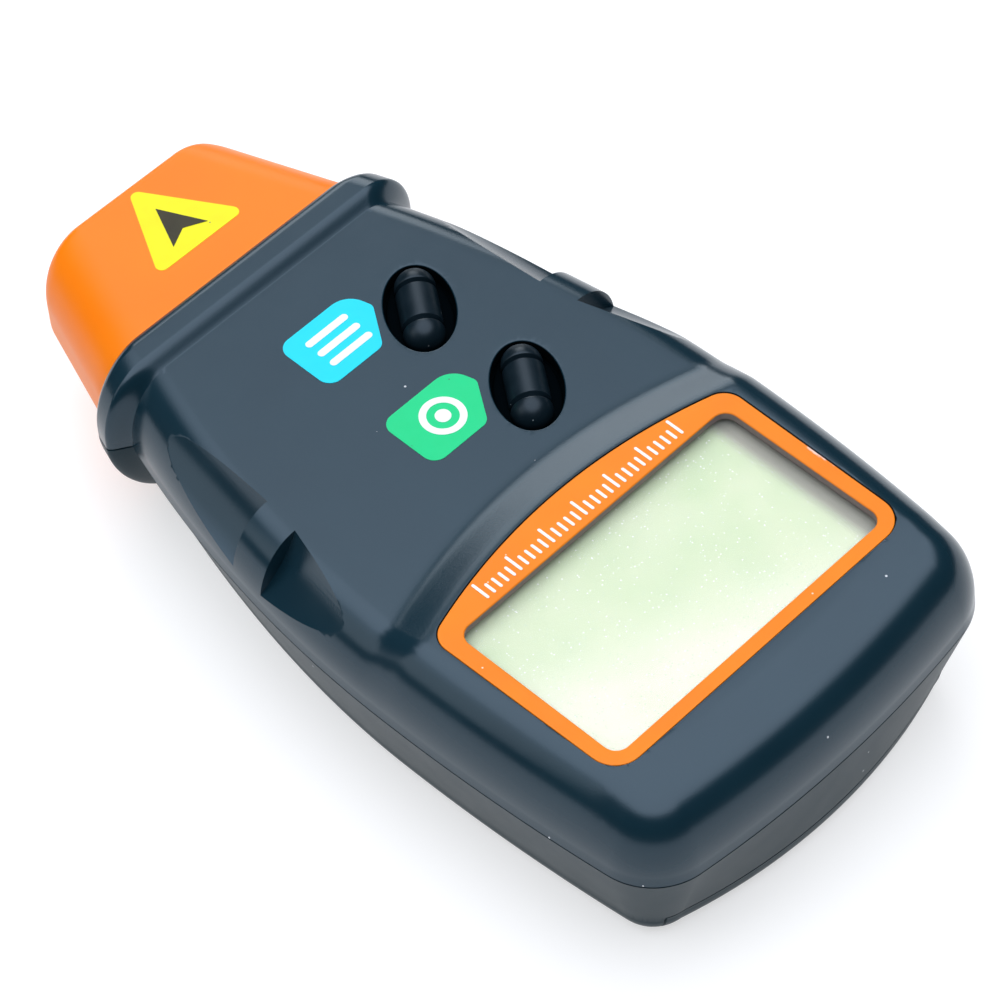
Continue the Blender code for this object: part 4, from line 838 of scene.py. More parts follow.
def cap_half_width(y):
    share = np.clip((y - COLLAR_FRONT_Y) / (NOSE_Y - COLLAR_FRONT_Y), 0.0, 1.0)
    return CAP_ROOT_HALF_WIDTH + (CAP_TIP_HALF_WIDTH - CAP_ROOT_HALF_WIDTH) * share


def cap_section(y, half, low_z, top_z, moved_in):
    """The cap's section across X: a rectangle, with rounder corners at its top than below."""
    top_edge = max(CAP_TOP_EDGE - moved_in, CAP_LEAST_EDGE)
    low_edge = max(CAP_LOW_EDGE - moved_in, CAP_LEAST_EDGE)
    top = half_section(half, top_z - top_edge, top_z, top_edge, OPTIC_AXIS_Z)
    low = half_section(half, low_z + low_edge, low_z, low_edge, OPTIC_AXIS_Z)
    return section(np.concatenate([top, low[-2:0:-1]]), y)


def cap_body(name, inset, root_y, front_y):
    """Sections of the cap from its root to its front, where the sides, the top and the bottom
    turn in by quarter circles of their own."""
    side, top, low = (
        max(edge - inset, CAP_LEAST_EDGE)
        for edge in (CAP_FRONT_SIDE_EDGE, CAP_FRONT_TOP_EDGE, CAP_FRONT_LOW_EDGE)
    )
    reach = max(side, low)
    middle = np.linspace(COLLAR_FRONT_Y, front_y - reach, CAP_STATIONS)[:-1]
    y = np.concatenate([[root_y], middle, front_y - reach * (1 - np.sin(quarter(FRONT_STEPS)))])
    turn, top_turn, low_turn = (turned_in(y, front_y, radius) for radius in (side, top, low))
    rows = zip(y, cap_half_width(y) - inset - turn, CAP_BOTTOM_Z + inset + low_turn,
               CAP_TOP_Z - inset - top_turn, inset + turn)
    return loft(name, [cap_section(*row) for row in rows])


def cap_plug(name, gap, low_y, high_y):
    """The cap's section carried straight along Y, larger by a gap."""
    sizes = (cap_half_width(low_y) + gap, CAP_BOTTOM_Z - gap, CAP_TOP_Z + gap, -gap)
    return loft(name, [cap_section(y, *sizes) for y in (low_y, high_y)])


def cap_hole():
    """The hole through the collar's front for the cap."""
    return cap_plug("cap_hole", FIT, COLLAR_LIP_Y, COLLAR_FRONT_Y + WALL)


def slot_ring(y, grow):
    """The slot's outline; its ends are round but for a sliver, so that no two points meet."""
    length, height = SLOT_LENGTH + 2 * grow, SLOT_HEIGHT + 2 * grow
    ends = NEARLY_ROUND * height / 2
    return section(rounded_rectangle(0.0, OPTIC_AXIS_Z, length, height, ends, SLOT_END_STEPS), y)


def nose_cap():
    """The hollow cap with its trapped flange, and a front slot with a rounded rim."""
    cap = cap_body("nose_cap_skin", 0.0, CAP_ROOT_Y, NOSE_Y)
    flange = cap_plug("flange", CAP_FLANGE_RISE, CAP_ROOT_Y, CAP_ROOT_Y + CAP_FLANGE_THICKNESS)
    wide = COLLAR_HALF_WIDTH
    lower = np.array([(-wide, 0.0), (wide, 0.0), (wide, NOSE_Y), (-wide, NOSE_Y)])
    join(cap, cut(flange, prism("below", lower, 0.0, PARTING_Z)))
    room = cap_body("cap_room", CAP_WALL, CAP_ROOT_Y - 2 * CAP_WALL, CAP_ROOM_FRONT_Y)
    rings = [slot_ring(CAP_ROOM_FRONT_Y - 2 * WALL, 0.0)]
    rings += [slot_ring(NOSE_Y - down, across) for across, down in rim(SLOT_RIM)]
    rings.append(slot_ring(NOSE_Y + PAST, SLOT_RIM))
    seat_back = CAP_ROOM_FRONT_Y - FIT - WINDOW_THICKNESS - WALL
    seat = [slot_ring(y, WINDOW_RIM + FIT) for y in (seat_back, CAP_ROOM_FRONT_Y)]
    return cut(cap, room, loft("slot", rings), loft("seat", seat))


# Grip scoops

def scoop(side, rib_y, tip_y, grow):
    """A slanting round cutter, deep at the rib, that leaves the shoulder at the scoop's tip."""
    edge = half_width(rib_y)
    inner = np.array((edge - SCOOP_INNER_FROM_EDGE, FACE_Z))
    outer = np.array((edge - SCOOP_OUTER_FROM_EDGE, SCOOP_OUTER_Z))
    chord = outer - inner
    outward = np.array((-chord[1], chord[0])) / np.linalg.norm(chord)
    rise = math.sqrt(SCOOP_RADIUS ** 2 - chord @ chord / 4)
    centre = (inner + outer) / 2 + outward * rise
    tip_centre = centre + outward * SCOOP_DEPTH + (half_width(tip_y) - edge, 0.0)
    end_y = tip_y + (tip_y - rib_y) * SCOOP_OVERSHOOT
    end_centre = tip_centre + (tip_centre - centre) * SCOOP_OVERSHOOT
    start_y = rib_y + (grow if tip_y < rib_y else -grow)
    rings = []
    for y, (x, z) in ((start_y, centre), (end_y, end_centre)):
        line = circle(x, z, 2 * (SCOOP_RADIUS + grow), SCOOP_STEPS)
        rings.append(section(line * (side, 1), y))
    return loft("scoop", rings)


def scoops(grow=0.0):
    ends = ((RIB_FRONT_Y, SCOOP_FRONT_TIP_Y), (RIB_BACK_Y, SCOOP_BACK_TIP_Y))
    return together([scoop(side, *pair, grow) for side in (-1, 1) for pair in ends])


# Display

def frame_line(gap):
    """The frame's outline: straight sides and tail, round corners and a bowed nose side."""
    steps = np.linspace(0, 1, FRAME_CORNER_STEPS + 1)
    tail, top = FRAME_TAIL_CORNER + gap, FRAME_TOP_CORNER + gap
    low = np.pi / 2 * (steps - 1)
    high = FRAME_TOP_CORNER_SWEEP * steps
    tail_x, top_x = FRAME_TAIL_HALF_WIDTH + gap - tail, FRAME_TOP_HALF_WIDTH + gap - top
    low_y, side_y = FRAME_TAIL_Y - gap + tail, FRAME_SIDE_Y + gap - top
    right = np.concatenate([
        np.column_stack([tail_x + tail * np.cos(low), low_y + tail * np.sin(low)]),
        np.column_stack([top_x + top * np.cos(high), side_y + top * np.sin(high)]),
    ])
    last_x, last_y = right[-1]
    t = 1 - 2 * np.arange(1, BOW_STEPS) / BOW_STEPS
    arc = np.column_stack([last_x * t, last_y + (FRAME_CROWN_Y + gap - last_y) * (1 - t * t)])
    return mirrored(right, arc)


def window_line(gap):
    return rounded_rectangle(0.0, WINDOW_CENTRE_Y, WINDOW_WIDTH + 2 * gap, WINDOW_HEIGHT + 2 * gap,
                             WINDOW_CORNER + gap, WINDOW_CORNER_STEPS)


def display_frame():
    """The frame, with a rounded outer edge and a rounded rim round the window."""
    low = FRAME_TOP_Z - FRAME_THICKNESS
    made = rimmed_prism("display_frame_skin", frame_line, low, FRAME_TOP_Z, FRAME_EDGE)
    return cut(made, rimmed_prism("hole", window_line, low - WALL, FRAME_TOP_Z, WINDOW_EDGE, 1))


# Keys

def key_oval(y, grow):
    turns = round_turns(OVAL_STEPS)
    along = (KEY_OVAL_LENGTH / 2 + grow) * np.cos(turns)
    return turned(along, (KEY_OVAL_WIDTH / 2 + grow) * np.sin(turns), KEY_TILT, KEY_X, y)


def key_grip(y):
    """The raised grip: a half round bar with ball ends and two grooves.

    The radius along the bar is that of the ball at the ends, and it dips by the groove's depth
    times the square of a cosine at each groove.
    """
    radius = KEY_GRIP_WIDTH / 2
    reach = KEY_GRIP_LENGTH / 2 - radius
    axis_z = KEY_CROWN_Z - radius
    end = reach + radius * np.cos(np.linspace(GRIP_END_TURN, np.pi / 2, GRIP_END_STEPS))
    bar = np.linspace(reach, -reach, GRIP_BAR_STEPS)[1:-1]
    along = np.concatenate([end, bar, -end[::-1]])
    over = np.maximum(np.abs(along) - reach, 0.0)
    size = np.sqrt(radius ** 2 - over ** 2)
    for middle in (-KEY_GROOVE_FROM_MIDDLE, KEY_GROOVE_FROM_MIDDLE):
        share = np.clip((along - middle) / KEY_GROOVE_WIDTH, -1, 1)
        size -= KEY_GROOVE_DEPTH * np.cos(np.pi / 2 * share) ** 2
    foot = KEY_DECK_Z - axis_z - KEY_OVERLAP
    arc = np.linspace(0, np.pi, GRIP_ARC_STEPS)
    across = np.concatenate([[1.0], np.cos(arc), [-1.0]]) * size[:, None]
    up = np.sin(arc) * size[:, None]
    up = np.column_stack([np.full(len(size), foot), up, np.full(len(size), foot)])
    place = turned(along[:, None] + KEY_GRIP_AHEAD, across, KEY_TILT, KEY_X, y)
    return loft("grip", np.concatenate([place, axis_z + up[..., None]], -1))


def key(name, y):
    """A push key: the flange under the shell, the deck in the oval hole, the grip and the nib."""
    low = KEY_FLANGE_TOP_Z - KEY_FLANGE_THICKNESS
    made = prism(name + "_skin", key_oval(y, KEY_FLANGE_RIM), low, KEY_FLANGE_TOP_Z)
    deck = rimmed_prism("deck", lambda gap: key_oval(y, gap - FIT), KEY_FLANGE_TOP_Z - KEY_OVERLAP,
                        KEY_DECK_Z, KEY_DECK_EDGE)
    nib = prism("nib", circle(KEY_X, y, KEY_NIB_DIAMETER), low - FIT / 2, low + KEY_OVERLAP)
    return join(made, deck, key_grip(y), nib)


# Front shell

def screw_places():
    stations_y = np.array(SCREW_STATIONS)
    return [(side * (half_width(y) - SCREW_FROM_SIDE), y) for y in stations_y for side in (-1, 1)]


def tubes():
    """The screw bosses and the board's posts: tubes that hang from the shell's ceiling."""
    ceiling = FACE_Z - WALL
    boss = (BOSS_DIAMETER, BOSS_BORE, UPPER_RIM_Z, BOSS_BORE_DEPTH)
    post = (POST_DIAMETER, POST_BORE, POST_LOW_Z, ceiling - POST_LOW_Z)
    places = [(*place, *boss) for place in screw_places()]
    places += [(BOARD_SCREW_X, y, *post) for y in BOARD_SCREW_STATIONS]
    outer, bores = [], []
    for x, y, wide, bore, low, deep in places:
        outer.append(prism("tube", circle(x, y, wide), low, ceiling + WALL / 2))
        bores.append(prism("bore", circle(x, y, bore), low - PAST, low + deep))
    return together(outer), together(bores)


def front_shell():
    """The upper half of the housing: its block, the collar, the scoops, the key holes with
    rounded rims, the display's seat and well, and the room inside."""
    top = shoulder_levels(0.0, SHOULDER_WIDTH, UPPER_RIM_Z, SHOULDER_STEPS)
    made = shell_block("front_shell_skin", top, SHELL_FRONT_Y, FACE_COLUMNS, face_height, face_bow)
    join(made, collar())
    under = shoulder_levels(WALL, SHOULDER_WIDTH - WALL, PARTING_Z - WALL, ROOM_SHOULDER_STEPS)
    room = shell_block("room", under, COLLAR_CREST_Y, ROOM_COLUMNS, flat(FACE_Z - WALL))
    openings = [(partial(key_oval, y), FACE_Z - 2 * WALL, FACE_Z, KEY_HOLE_EDGE)
                for y in KEY_PLACES.values()]
    seat_z = FRAME_TOP_Z - FRAME_THICKNESS - FIT
    openings.append((lambda gap: frame_line(gap + SEAT_GAP), seat_z, DISPLAY_Z, SEAT_EDGE))
    well = rounded_rectangle(0.0, WINDOW_CENTRE_Y, LCD_WIDTH + 2 * FIT, LCD_HEIGHT + 2 * FIT,
                             LCD_CORNER + FIT)
    cut(made, cut(room, scoops(SCOOP_WALL)), collar_room(), cap_hole(), scoops(),
        together([rimmed_prism("opening", *opening, 1) for opening in openings]),
        prism("well", well, FACE_Z - 2 * WALL, DISPLAY_Z))
    outer, bores = tubes()
    return cut(join(made, outer), bores)


# Rear shell and battery door

def battery_bay():
    """The battery's box and the door's rails, kept inside the shell's walls."""
    back, front = BATTERY_CENTRE_Y - BAY_HALF_DEPTH, BATTERY_CENTRE_Y + BAY_HALF_DEPTH
    wide, high = DOOR_HOLE_HALF_WIDTH + BOX_WALL, BAY_CEILING_Z + BOX_CEILING
    bay = cutter("bay", (-wide, TAIL_Y, WALL / 2), (wide, front + BOX_WALL, high))
    inner, outer = DOOR_HOLE_HALF_WIDTH - WALL, RAIL_HALF_WIDTH
    for near, far in ((-outer, -inner), (inner, outer)):
        join(bay, cutter("rail", (near, TAIL_Y, WALL / 2), (far, DOOR_FRONT_Y + WALL, RAIL_TOP_Z)))
    step_z = LOWER_RIM_Z - BOX_UNDER_RIM
    levels = [(BOX_INSET_IN_FRONT, 0.0, z) for z in (high + BOX_CEILING, step_z)]
    levels += back_levels(WALL / 2, BACK_EDGE_RADIUS - WALL / 2, step_z, ROOM_STEPS)
    inside = shell_block("inside", levels, COLLAR_BACK_Y, ROOM_COLUMNS, flat(WALL / 2))
    chamber = cutter("chamber", (BAY_LEFT_X, back, -WALL), (BAY_RIGHT_X, front, BAY_CEILING_Z))
    return combine("INTERSECT", bay, [inside]), chamber


def door_profile(front_y, lip_y, gap):
    """The door's side outline in Y and Z: a plate with a lip that rises at the tail."""
    outside = TAIL_Y - WALL
    plate, lip = DOOR_THICKNESS + gap, DOOR_LIP_TOP_Z + gap
    return [(outside, -WALL), (front_y, -WALL), (front_y, plate), (lip_y, plate), (lip_y, lip),
            (outside, lip)]


def rear_shell():
    """The lower half of the housing: its block, the collar, the room inside, the battery bay, the
    door's hole and grooves, the screw bosses and their holes."""
    made = join(lower_body("rear_shell_skin"), collar(False))
    cut(made, lower_body("room", WALL), collar_room(False), cap_hole())
    bay, chamber = battery_bay()
    join(made, bay)
    for x, y in screw_places():
        root = back_height(y) + WALL / 2
        join(made, prism("boss", circle(x, y, BOSS_DIAMETER), root, LOWER_RIM_Z))
    hole = door_profile(DOOR_FRONT_Y + FIT, DOOR_LIP_INNER_Y + FIT, FIT)
    hole = bar_along_x("door_hole", hole, -DOOR_HOLE_HALF_WIDTH, DOOR_HOLE_HALF_WIDTH)
    reach = DOOR_HALF_WIDTH + DOOR_TONGUE_REACH + FIT
    groove = cutter("tongue_groove", (-reach, TAIL_Y - WALL, DOOR_TONGUE_LOW_Z - FIT),
                    (reach, DOOR_FRONT_Y + FIT - WALL, DOOR_TONGUE_HIGH_Z + FIT))
    cut(made, chamber, hole, groove)
    holes = []
    slot = CONTACT_HALF_WIDTH + FIT
    for side in (-1, 1):
        y = BATTERY_CENTRE_Y + side * CONTACT_FROM_CENTRE
        holes.append(cutter("contact_slot", (STUD_TIP_X, y - slot, BAY_CEILING_Z - WALL),
                            (BAY_RIGHT_X, y + slot, BAY_CEILING_Z + 2 * BOX_CEILING)))
    for x, y in screw_places():
        shank = prism("shank_hole", circle(x, y, SHANK_HOLE), SCREW_SEAT_Z - WALL, PARTING_Z + WALL)
        holes.append(join(shank, prism("head_hole", circle(x, y, HEAD_HOLE), -WALL, SCREW_SEAT_Z)))
    return cut(made, together(holes))


def battery_door():
    """The tail part of the back, with its end lip, its side tongues and its thumb ridges."""
    plate = door_profile(DOOR_FRONT_Y, DOOR_LIP_INNER_Y, 0.0)
    made = combine("INTERSECT", lower_body("battery_door_skin"),
                   [bar_along_x("plate", plate, -DOOR_HALF_WIDTH, DOOR_HALF_WIDTH)])
    inner, outer = DOOR_HALF_WIDTH - WALL, DOOR_HALF_WIDTH + DOOR_TONGUE_REACH
    for near, far in ((-outer, -inner), (inner, outer)):
        join(made, cutter("tongue", (near, CORNER_SIDE_Y, DOOR_TONGUE_LOW_Z),
                          (far, DOOR_FRONT_Y - WALL - FIT, DOOR_TONGUE_HIGH_Z)))
    width, half = DOOR_GRIP_PITCH / 4, DOOR_GRIP_HALF_LENGTH
    count = np.arange(DOOR_GRIP_COUNT) - (DOOR_GRIP_COUNT - 1) / 2
    places = DOOR_GRIP_Y + DOOR_GRIP_PITCH * count
    grooves = [cutter("thumb_groove", (-half, y - width, -WALL), (half, y + width, DOOR_GRIP_DEPTH))
               for y in places]
    return cut(made, together(grooves))


def paint_shade_in_key_holes(shell, material):
    """Gives the walls of the key holes a second material, a painted shade of dull black: faces
    whose middle is below the face and within the oval, grown a little."""
    mesh = shell.data
    mesh.materials.append(material)
    centres = np.empty(len(mesh.polygons) * 3)
    mesh.polygons.foreach_get("center", centres)
    x, y, z = centres.reshape(-1, 3).T / MM
    index = np.zeros(len(mesh.polygons), np.int32)
    for key_y in KEY_PLACES.values():
        place = turned(x - KEY_X, y - key_y, -KEY_TILT, 0.0, 0.0)
        share = 2 * place / (KEY_OVAL_LENGTH + 2 * FIT, KEY_OVAL_WIDTH + 2 * FIT)
        index[(np.sum(share ** 2, axis=-1) < 1) & (z < KEY_WALL_TOP_Z)] = 1
    mesh.polygons.foreach_set("material_index", index)


def merged_copy(node):
    """A copy of a node's mesh with its loose triangles joined."""
    mesh = NODES[node].data.copy()
    shape = bmesh.new()
    shape.from_mesh(mesh)
    bmesh.ops.remove_doubles(shape, verts=shape.verts, dist=SAME_PLACE / 2)
    bmesh.ops.dissolve_limit(shape, angle_limit=2 * FLAT, verts=shape.verts, edges=shape.edges)
    shape.to_mesh(mesh)
    shape.free()
    return placed(node + "_skin", mesh)


# Finishes

# A surface that gives back less of the sky than its plastic would from a polished mould
SATIN = {"Specular IOR Level": 0.3}
# The cool bloom that slate plastic shows in its highlights
BLUISH = linear("d9edff")


def plastic(name, code, second, roughness, grain, depth, sockets=(), patch=14.0, dust=0.0,
            dust_code="c9ccd0"):
    """A moulded plastic: grain as a bump, a slow drift of tone and gloss, and some dust."""
    made = Finish(name, sockets)
    tone = made.mixed(made.drift(patch), code, second)
    if dust:
        tone = made.mixed(made.specks(spacing=2.6, size=0.16, share=dust), tone, dust_code)
    gloss = made.drift(patch / 3, roughness - GLOSS_DRIFT, roughness + GLOSS_DRIFT)
    return made.done(tone, gloss, grain, depth)


def metal(name, code, second, roughness, grain, depth):
    """Drawn or turned metal: fine scratches as a bump, and patches of duller surface."""
    made = Finish(name, {"Metallic": 1.0})
    tone = made.mixed(made.drift(1.5), code, second)
    return made.done(tone, made.drift(0.8, roughness, roughness + 0.15), grain, depth)


def clear_plastic(name, alpha):
    """Clear acrylic, cast flat: seen by its gloss, a faint tint and hairline scratches."""
    made = Finish(name, {"Alpha": alpha, "IOR": 1.49})
    tone = made.mixed(made.drift(9.0), "e6ece4", "dfe9e2")
    return made.done(tone, made.drift(6.0, 0.03, 0.08), 2.5, 0.002)


def display_panel():
    """A liquid crystal panel over a pearly reflector: pale green at its middle, and a painted
    gradient of light that makes it paler and cream towards its tail and its left, a painted shadow
    of the frame's wall along its right edge, and a fine sparkle."""
    made = Finish("liquid_crystal_panel", {"IOR": 1.5})
    x = made.along("X")
    slant = made.maths("MULTIPLY_ADD", x, PANEL_SLANT, made.along("Y"))
    # Painted light: paler and cream towards the tail and the left, pale green beyond
    green_from, green_to = ((WINDOW_CENTRE_Y + y) * MM for y in (-15, 3))
    share = made.ramp(slant, green_from, green_to, how="SMOOTHSTEP")
    tone = made.mixed(share, "fdfae6", "cfe1b4")
    tone = made.mixed(made.drift(8.0, 0.0, 0.55), tone, "e8edcc")
    tone = made.mixed(made.specks(spacing=0.55, size=0.11, share=0.35), tone, "ffffff")
    tone = made.mixed(made.specks(spacing=0.45, size=0.10, share=0.35), tone, "d3e3c6")
    # Painted shadow: the panel greys along its right edge, where the frame's right wall keeps the
    # light off
    shadow_from, shadow_to = ((WINDOW_WIDTH / 2 - inset) * MM for inset in (3.3, 0.7))
    painted_shadow = made.ramp(x, shadow_from, shadow_to, how="SMOOTHSTEP")
    tone = made.mixed(painted_shadow, tone, "a6a093")
    return made.done(tone, made.drift(0.5, 0.32, 0.5), 0.3, 0.004)


def circuit_laminate():
    """Glass and epoxy laminate under green solder resist: paler where tracks run beneath."""
    made = Finish("circuit_laminate")
    tracks = made.pattern("ShaderNodeTexBrick", 10.0)
    colours = {"Color1": linear("0f4a26"), "Color2": linear("13562d"), "Mortar": linear("2b7a46")}
    sizes = {"Mortar Size": 0.012, "Brick Width": 0.6, "Row Height": 0.11}
    give(made.tree, tracks, colours | sizes)
    tone = made.mixed(made.drift(5.0, 0.0, 0.5), tracks.outputs["Color"], "0d3f21")
    return made.done(tone, 0.35, 0.6, 0.01)


def frame_plastic():
    """Orange ABS, moulded satin, with a pale chip on its right edge. The walls below its rim are
    painted dark grey: painted shade."""
    made = Finish("satin_orange_abs", SATIN)
    tone = made.mixed(made.drift(10.0), "ee8400", "ed7d00")
    far = made.place
    for operation, value in (("SUBTRACT", CHIP_PLACE), ("MULTIPLY", CHIP_SPREAD)):
        far = made.add("ShaderNodeVectorMath", {0: far, 1: value}, operation=operation).outputs[0]
    far = made.add("ShaderNodeVectorMath", {0: far}, operation="LENGTH").outputs["Value"]
    ragged = made.maths("ADD", far, made.drift(0.7, -0.45, 0.45))
    tone = made.mixed(made.ramp(ragged, 1.0, 0.5), tone, "f6cdbb")
    tone = made.mixed(made.specks(spacing=2.4, size=0.13, share=0.3), tone, "f9d9bd")
    # Painted shade: below the rim the frame's walls are grey, above it they keep their orange
    fully_shaded_to, unshaded_from = ((FRAME_TOP_Z - down) * MM for down in (0.3, 0.12))
    out_of_shade = made.ramp(made.along("Z"), fully_shaded_to, unshaded_from)
    tone = made.mixed(out_of_shade, "817175", tone)
    return made.done(tone, made.drift(3.0, 0.36, 0.46), 0.25, 0.006)


def ink(name, code, second, roughness=0.45):
    """Screen printed ink: a little uneven in tone, with tiny pinholes of dirt."""
    made = Finish(name, SATIN)
    tone = made.mixed(made.drift(3.0), code, second)
    tone = made.mixed(made.specks(spacing=1.6, size=0.10, share=0.12), tone, "4a5a60")
    return made.done(tone, made.drift(1.0, roughness - 0.05, roughness + 0.05), 0.22, 0.004)


def key_plastic():
    """Black ABS, satin on the grip; the sunk deck round the grip is painted darker and gives back
    no sky, as painted shade, so it stays the blackest place on the face."""
    made = Finish("black_abs_satin", {"Specular Tint": BLUISH})
    tone = made.mixed(made.drift(4.0), "0a171e", "0e1c24")
    tone = made.mixed(made.specks(spacing=1.8, size=0.08, share=0.3), tone, "8b9499")
    # Painted shade: the sunk deck is darker and without gloss, the grip above it keeps its tone
    fully_shaded_to, unshaded_from = ((KEY_DECK_Z + up) * MM for up in (0.1, 1.2))
    share = made.ramp(made.along("Z"), fully_shaded_to, unshaded_from)
    give(made.tree, made.shader, {"Specular IOR Level": made.maths("MULTIPLY", share, 0.42)})
    return made.done(made.mixed(share, "03070a", tone), made.drift(2.0, 0.33, 0.40), 0.4, 0.004)


# A chip on the frame's right edge
CHIP_PLACE = (27.2 * MM, -36.5 * MM, 28.9 * MM)
CHIP_SPREAD = (1 / (0.4 * MM), 1 / (2.7 * MM), 1 / (2.0 * MM))

# Slate ABS from a spark-eroded mould: dull, with a grain just fine enough to see and some dust.
# The real grain is about 0.1 mm; it is drawn coarser, so that it shows
SLATE = plastic("slate_abs_fine_grain", "102833", "122b36", 0.22, 0.24, 0.008,
                {"Specular IOR Level": 0.6, "Specular Tint": BLUISH}, dust=0.1)
# The lower shell is from a duller mould, so its walls give back less of the table
SLATE_DULL = plastic("slate_abs_matt", "10272f", "122a33", 0.42, 0.24, 0.01,
                     {"Specular IOR Level": 0.2, "Specular Tint": BLUISH}, dust=0.1)
# Orange ABS from a polished mould: a satin gloss with a faint grain
ORANGE = plastic("orange_abs_satin", "f67e00", "f67a00", 0.38, 0.3, 0.005, SATIN,
                 dust=0.05, dust_code="ffd9b8")
FRAME_ORANGE = frame_plastic()
# Black ABS from a polished mould: a clear highlight along each grip
KEY_BLACK = key_plastic()
# The walls of the key holes: the slate shell painted dull black, as painted shade
KEY_HOLE_SHADE = plastic("painted_shade_key_hole_wall", "03070a", "050a0d", 0.6, 0.4, 0.004,
                     {"Specular IOR Level": 0.05})
PANEL = display_panel()
# Clear acrylic: the window is nearly unseen, the lenses stand out a little
ACRYLIC = clear_plastic("clear_acrylic", 0.10)
LENS_GLASS = clear_plastic("clear_lens_plastic", 0.35)
LAMINATE = circuit_laminate()
# Turned brass and zinc plated steel: bright, with fine scratches
BRASS = metal("turned_brass", "c9a255", "b98f45", 0.22, 0.15, 0.004)
STEEL = metal("zinc_plated_steel", "b9babc", "a2a4a8", 0.25, 0.2, 0.005)
# Inner plastics and rubber: plain mouldings, dull, as no polished mould made them. The coarse
# grain of the wrap and the epoxy is their skin's ripple, not a mould's grain
BLACK_ABS = plastic("black_abs_dull", "141518", "1b1c20", 0.5, 0.25, 0.012, patch=5.0)
WHITE_ABS = plastic("white_abs_dull", "dcdcd6", "e4e3dc", 0.45, 0.25, 0.008, patch=8.0)
GREY_RUBBER = plastic("grey_rubber_layers", "55575a", "47494c", 0.75, 0.2, 0.02, patch=0.8)
BATTERY_WRAP = plastic("printed_battery_wrap", "1d1e22", "2a2b30", 0.3, 0.8, 0.006, patch=6.0)
DARK_GLASS = plastic("dark_sensor_epoxy", "0a0a0d", "101016", 0.12, 0.8, 0.003, patch=3.0)
# Inks and a vinyl label: flat strong colours, a little less glossy than the plastic round them
BLUE_INK = ink("sky_blue_ink", "00d3e6", "00d1e6")
GREEN_INK = ink("leaf_green_ink", "00cb80", "00cd83")
YELLOW_INK = ink("yellow_label_vinyl", "ece600", "e8e000", 0.35)
WHITE_INK = ink("white_ink", "eef1f0", "e6eae9")
BLACK_INK = ink("black_ink", "2a2612", "332f18")


# Pieces made again

shell = weighted(dress(front_shell(), SLATE, HOUSING, ("front_shell",)))
# Painted shade on the walls of the key holes
paint_shade_in_key_holes(shell, KEY_HOLE_SHADE)
for piece, material, body, node in (
    (rear_shell(), SLATE_DULL, HOUSING, "rear_shell"),
    (battery_door(), SLATE_DULL, "battery_door", "battery_door"),
    (nose_cap(), ORANGE, HOUSING, "nose_cap"),
    (display_frame(), FRAME_ORANGE, HOUSING, "display_frame"),
    (key("upper_key", KEY_PLACES["upper_key"]), KEY_BLACK, "upper_key", "upper_key"),
    (key("lower_key", KEY_PLACES["lower_key"]), KEY_BLACK, "lower_key", "lower_key"),
):
    weighted(dress(piece, material, body, (node,)))

# Small round pieces, copied so that their curves are shaded smooth
for material, nodes in (
    (BRASS, "laser_module"),
    (LENS_GLASS, "laser_lens collecting_lens"),
    (DARK_GLASS, "light_sensor"),
    (BLACK_ABS, "optics_holder"),
    (STEEL, "housing_screw_nose_left housing_screw_nose_right"),
    (STEEL, "housing_screw_middle_left housing_screw_middle_right"),
    (BATTERY_WRAP, "battery"),
):
    for node in nodes.split():
        dress(merged_copy(node), material, HOUSING, (node,))

# Pieces whose solids stay as they are
for material, nodes in (
    (ACRYLIC, "display_window optics_window"),
    (PANEL, "lcd_panel"),
    (WHITE_ABS, "lcd_bracket"),
    (GREY_RUBBER, "zebra_strip_front zebra_strip_rear"),
    (LAMINATE, "circuit_board sensor_board"),
    (BLACK_ABS, "controller_chip"),
    (STEEL, "upper_key_switch lower_key_switch board_screw_front board_screw_rear"),
    (STEEL, "small_contact large_contact"),
):
    for node in nodes.split():
        mesh = NODES[node].data
        mesh.materials.clear()
        mesh.materials.append(material)


# Print on the face, the frame and the cap

def inked(name, outline, surface_z):
    """A layer of ink with this outline on a level surface."""
    return prism(name, np.asarray(outline), surface_z - INK_ROOT, surface_z + INK)


def bar(x0, y0, x1, y1, width):
    """Outline of a bar with round ends between two places."""
    turn = math.atan2(y1 - y0, x1 - x0)
    half = np.linspace(-np.pi / 2, np.pi / 2, BAR_END_STEPS + 1) + turn
    arc = np.column_stack([np.cos(half), np.sin(half)]) * width / 2
    return np.concatenate([arc + (x1, y1), (x0, y0) - arc])


# The field by each key: cut off slantwise towards the key, with a small plain shape on it
FIELD_LEFT, FIELD_TIP, FIELD_CUT = -6.6, 7.3, 1.1
FIELD_TALL, FIELD_TIP_UP, FIELD_FOOT = 10.1, 6.0, 3.2
FIELD_RADII = (2.0, 1.7, 1.2, 3.4, 2.0)
BLUE_LOW = 18.5
GREEN_LOW = BLUE_LOW - KEY_PITCH + 0.5
for name, low, material in (("blue", BLUE_LOW, BLUE_INK), ("green", GREEN_LOW, GREEN_INK)):
    high = low + FIELD_TALL
    corners = [(FIELD_LEFT, low), (FIELD_FOOT, low), (FIELD_TIP, low + FIELD_TIP_UP),
               (FIELD_TIP - FIELD_CUT, high), (FIELD_LEFT, high)]
    outline = rounded_polygon(corners, FIELD_RADII, 10)
    dress(inked(name + "_field", outline, FACE_Z), material, HOUSING)

ON_INK = FACE_Z + INK
BAR_HALF, BAR_WIDTH, BAR_PITCH = 3.2, 1.1, 2.3
bars = [inked("bar", bar(-BAR_HALF, y, BAR_HALF, y, BAR_WIDTH), ON_INK)
        for y in BLUE_LOW + FIELD_TALL / 2 + np.array([-BAR_PITCH, 0.0, BAR_PITCH])]
dress(together(bars), WHITE_INK, HOUSING).name = "blue_field_bars"

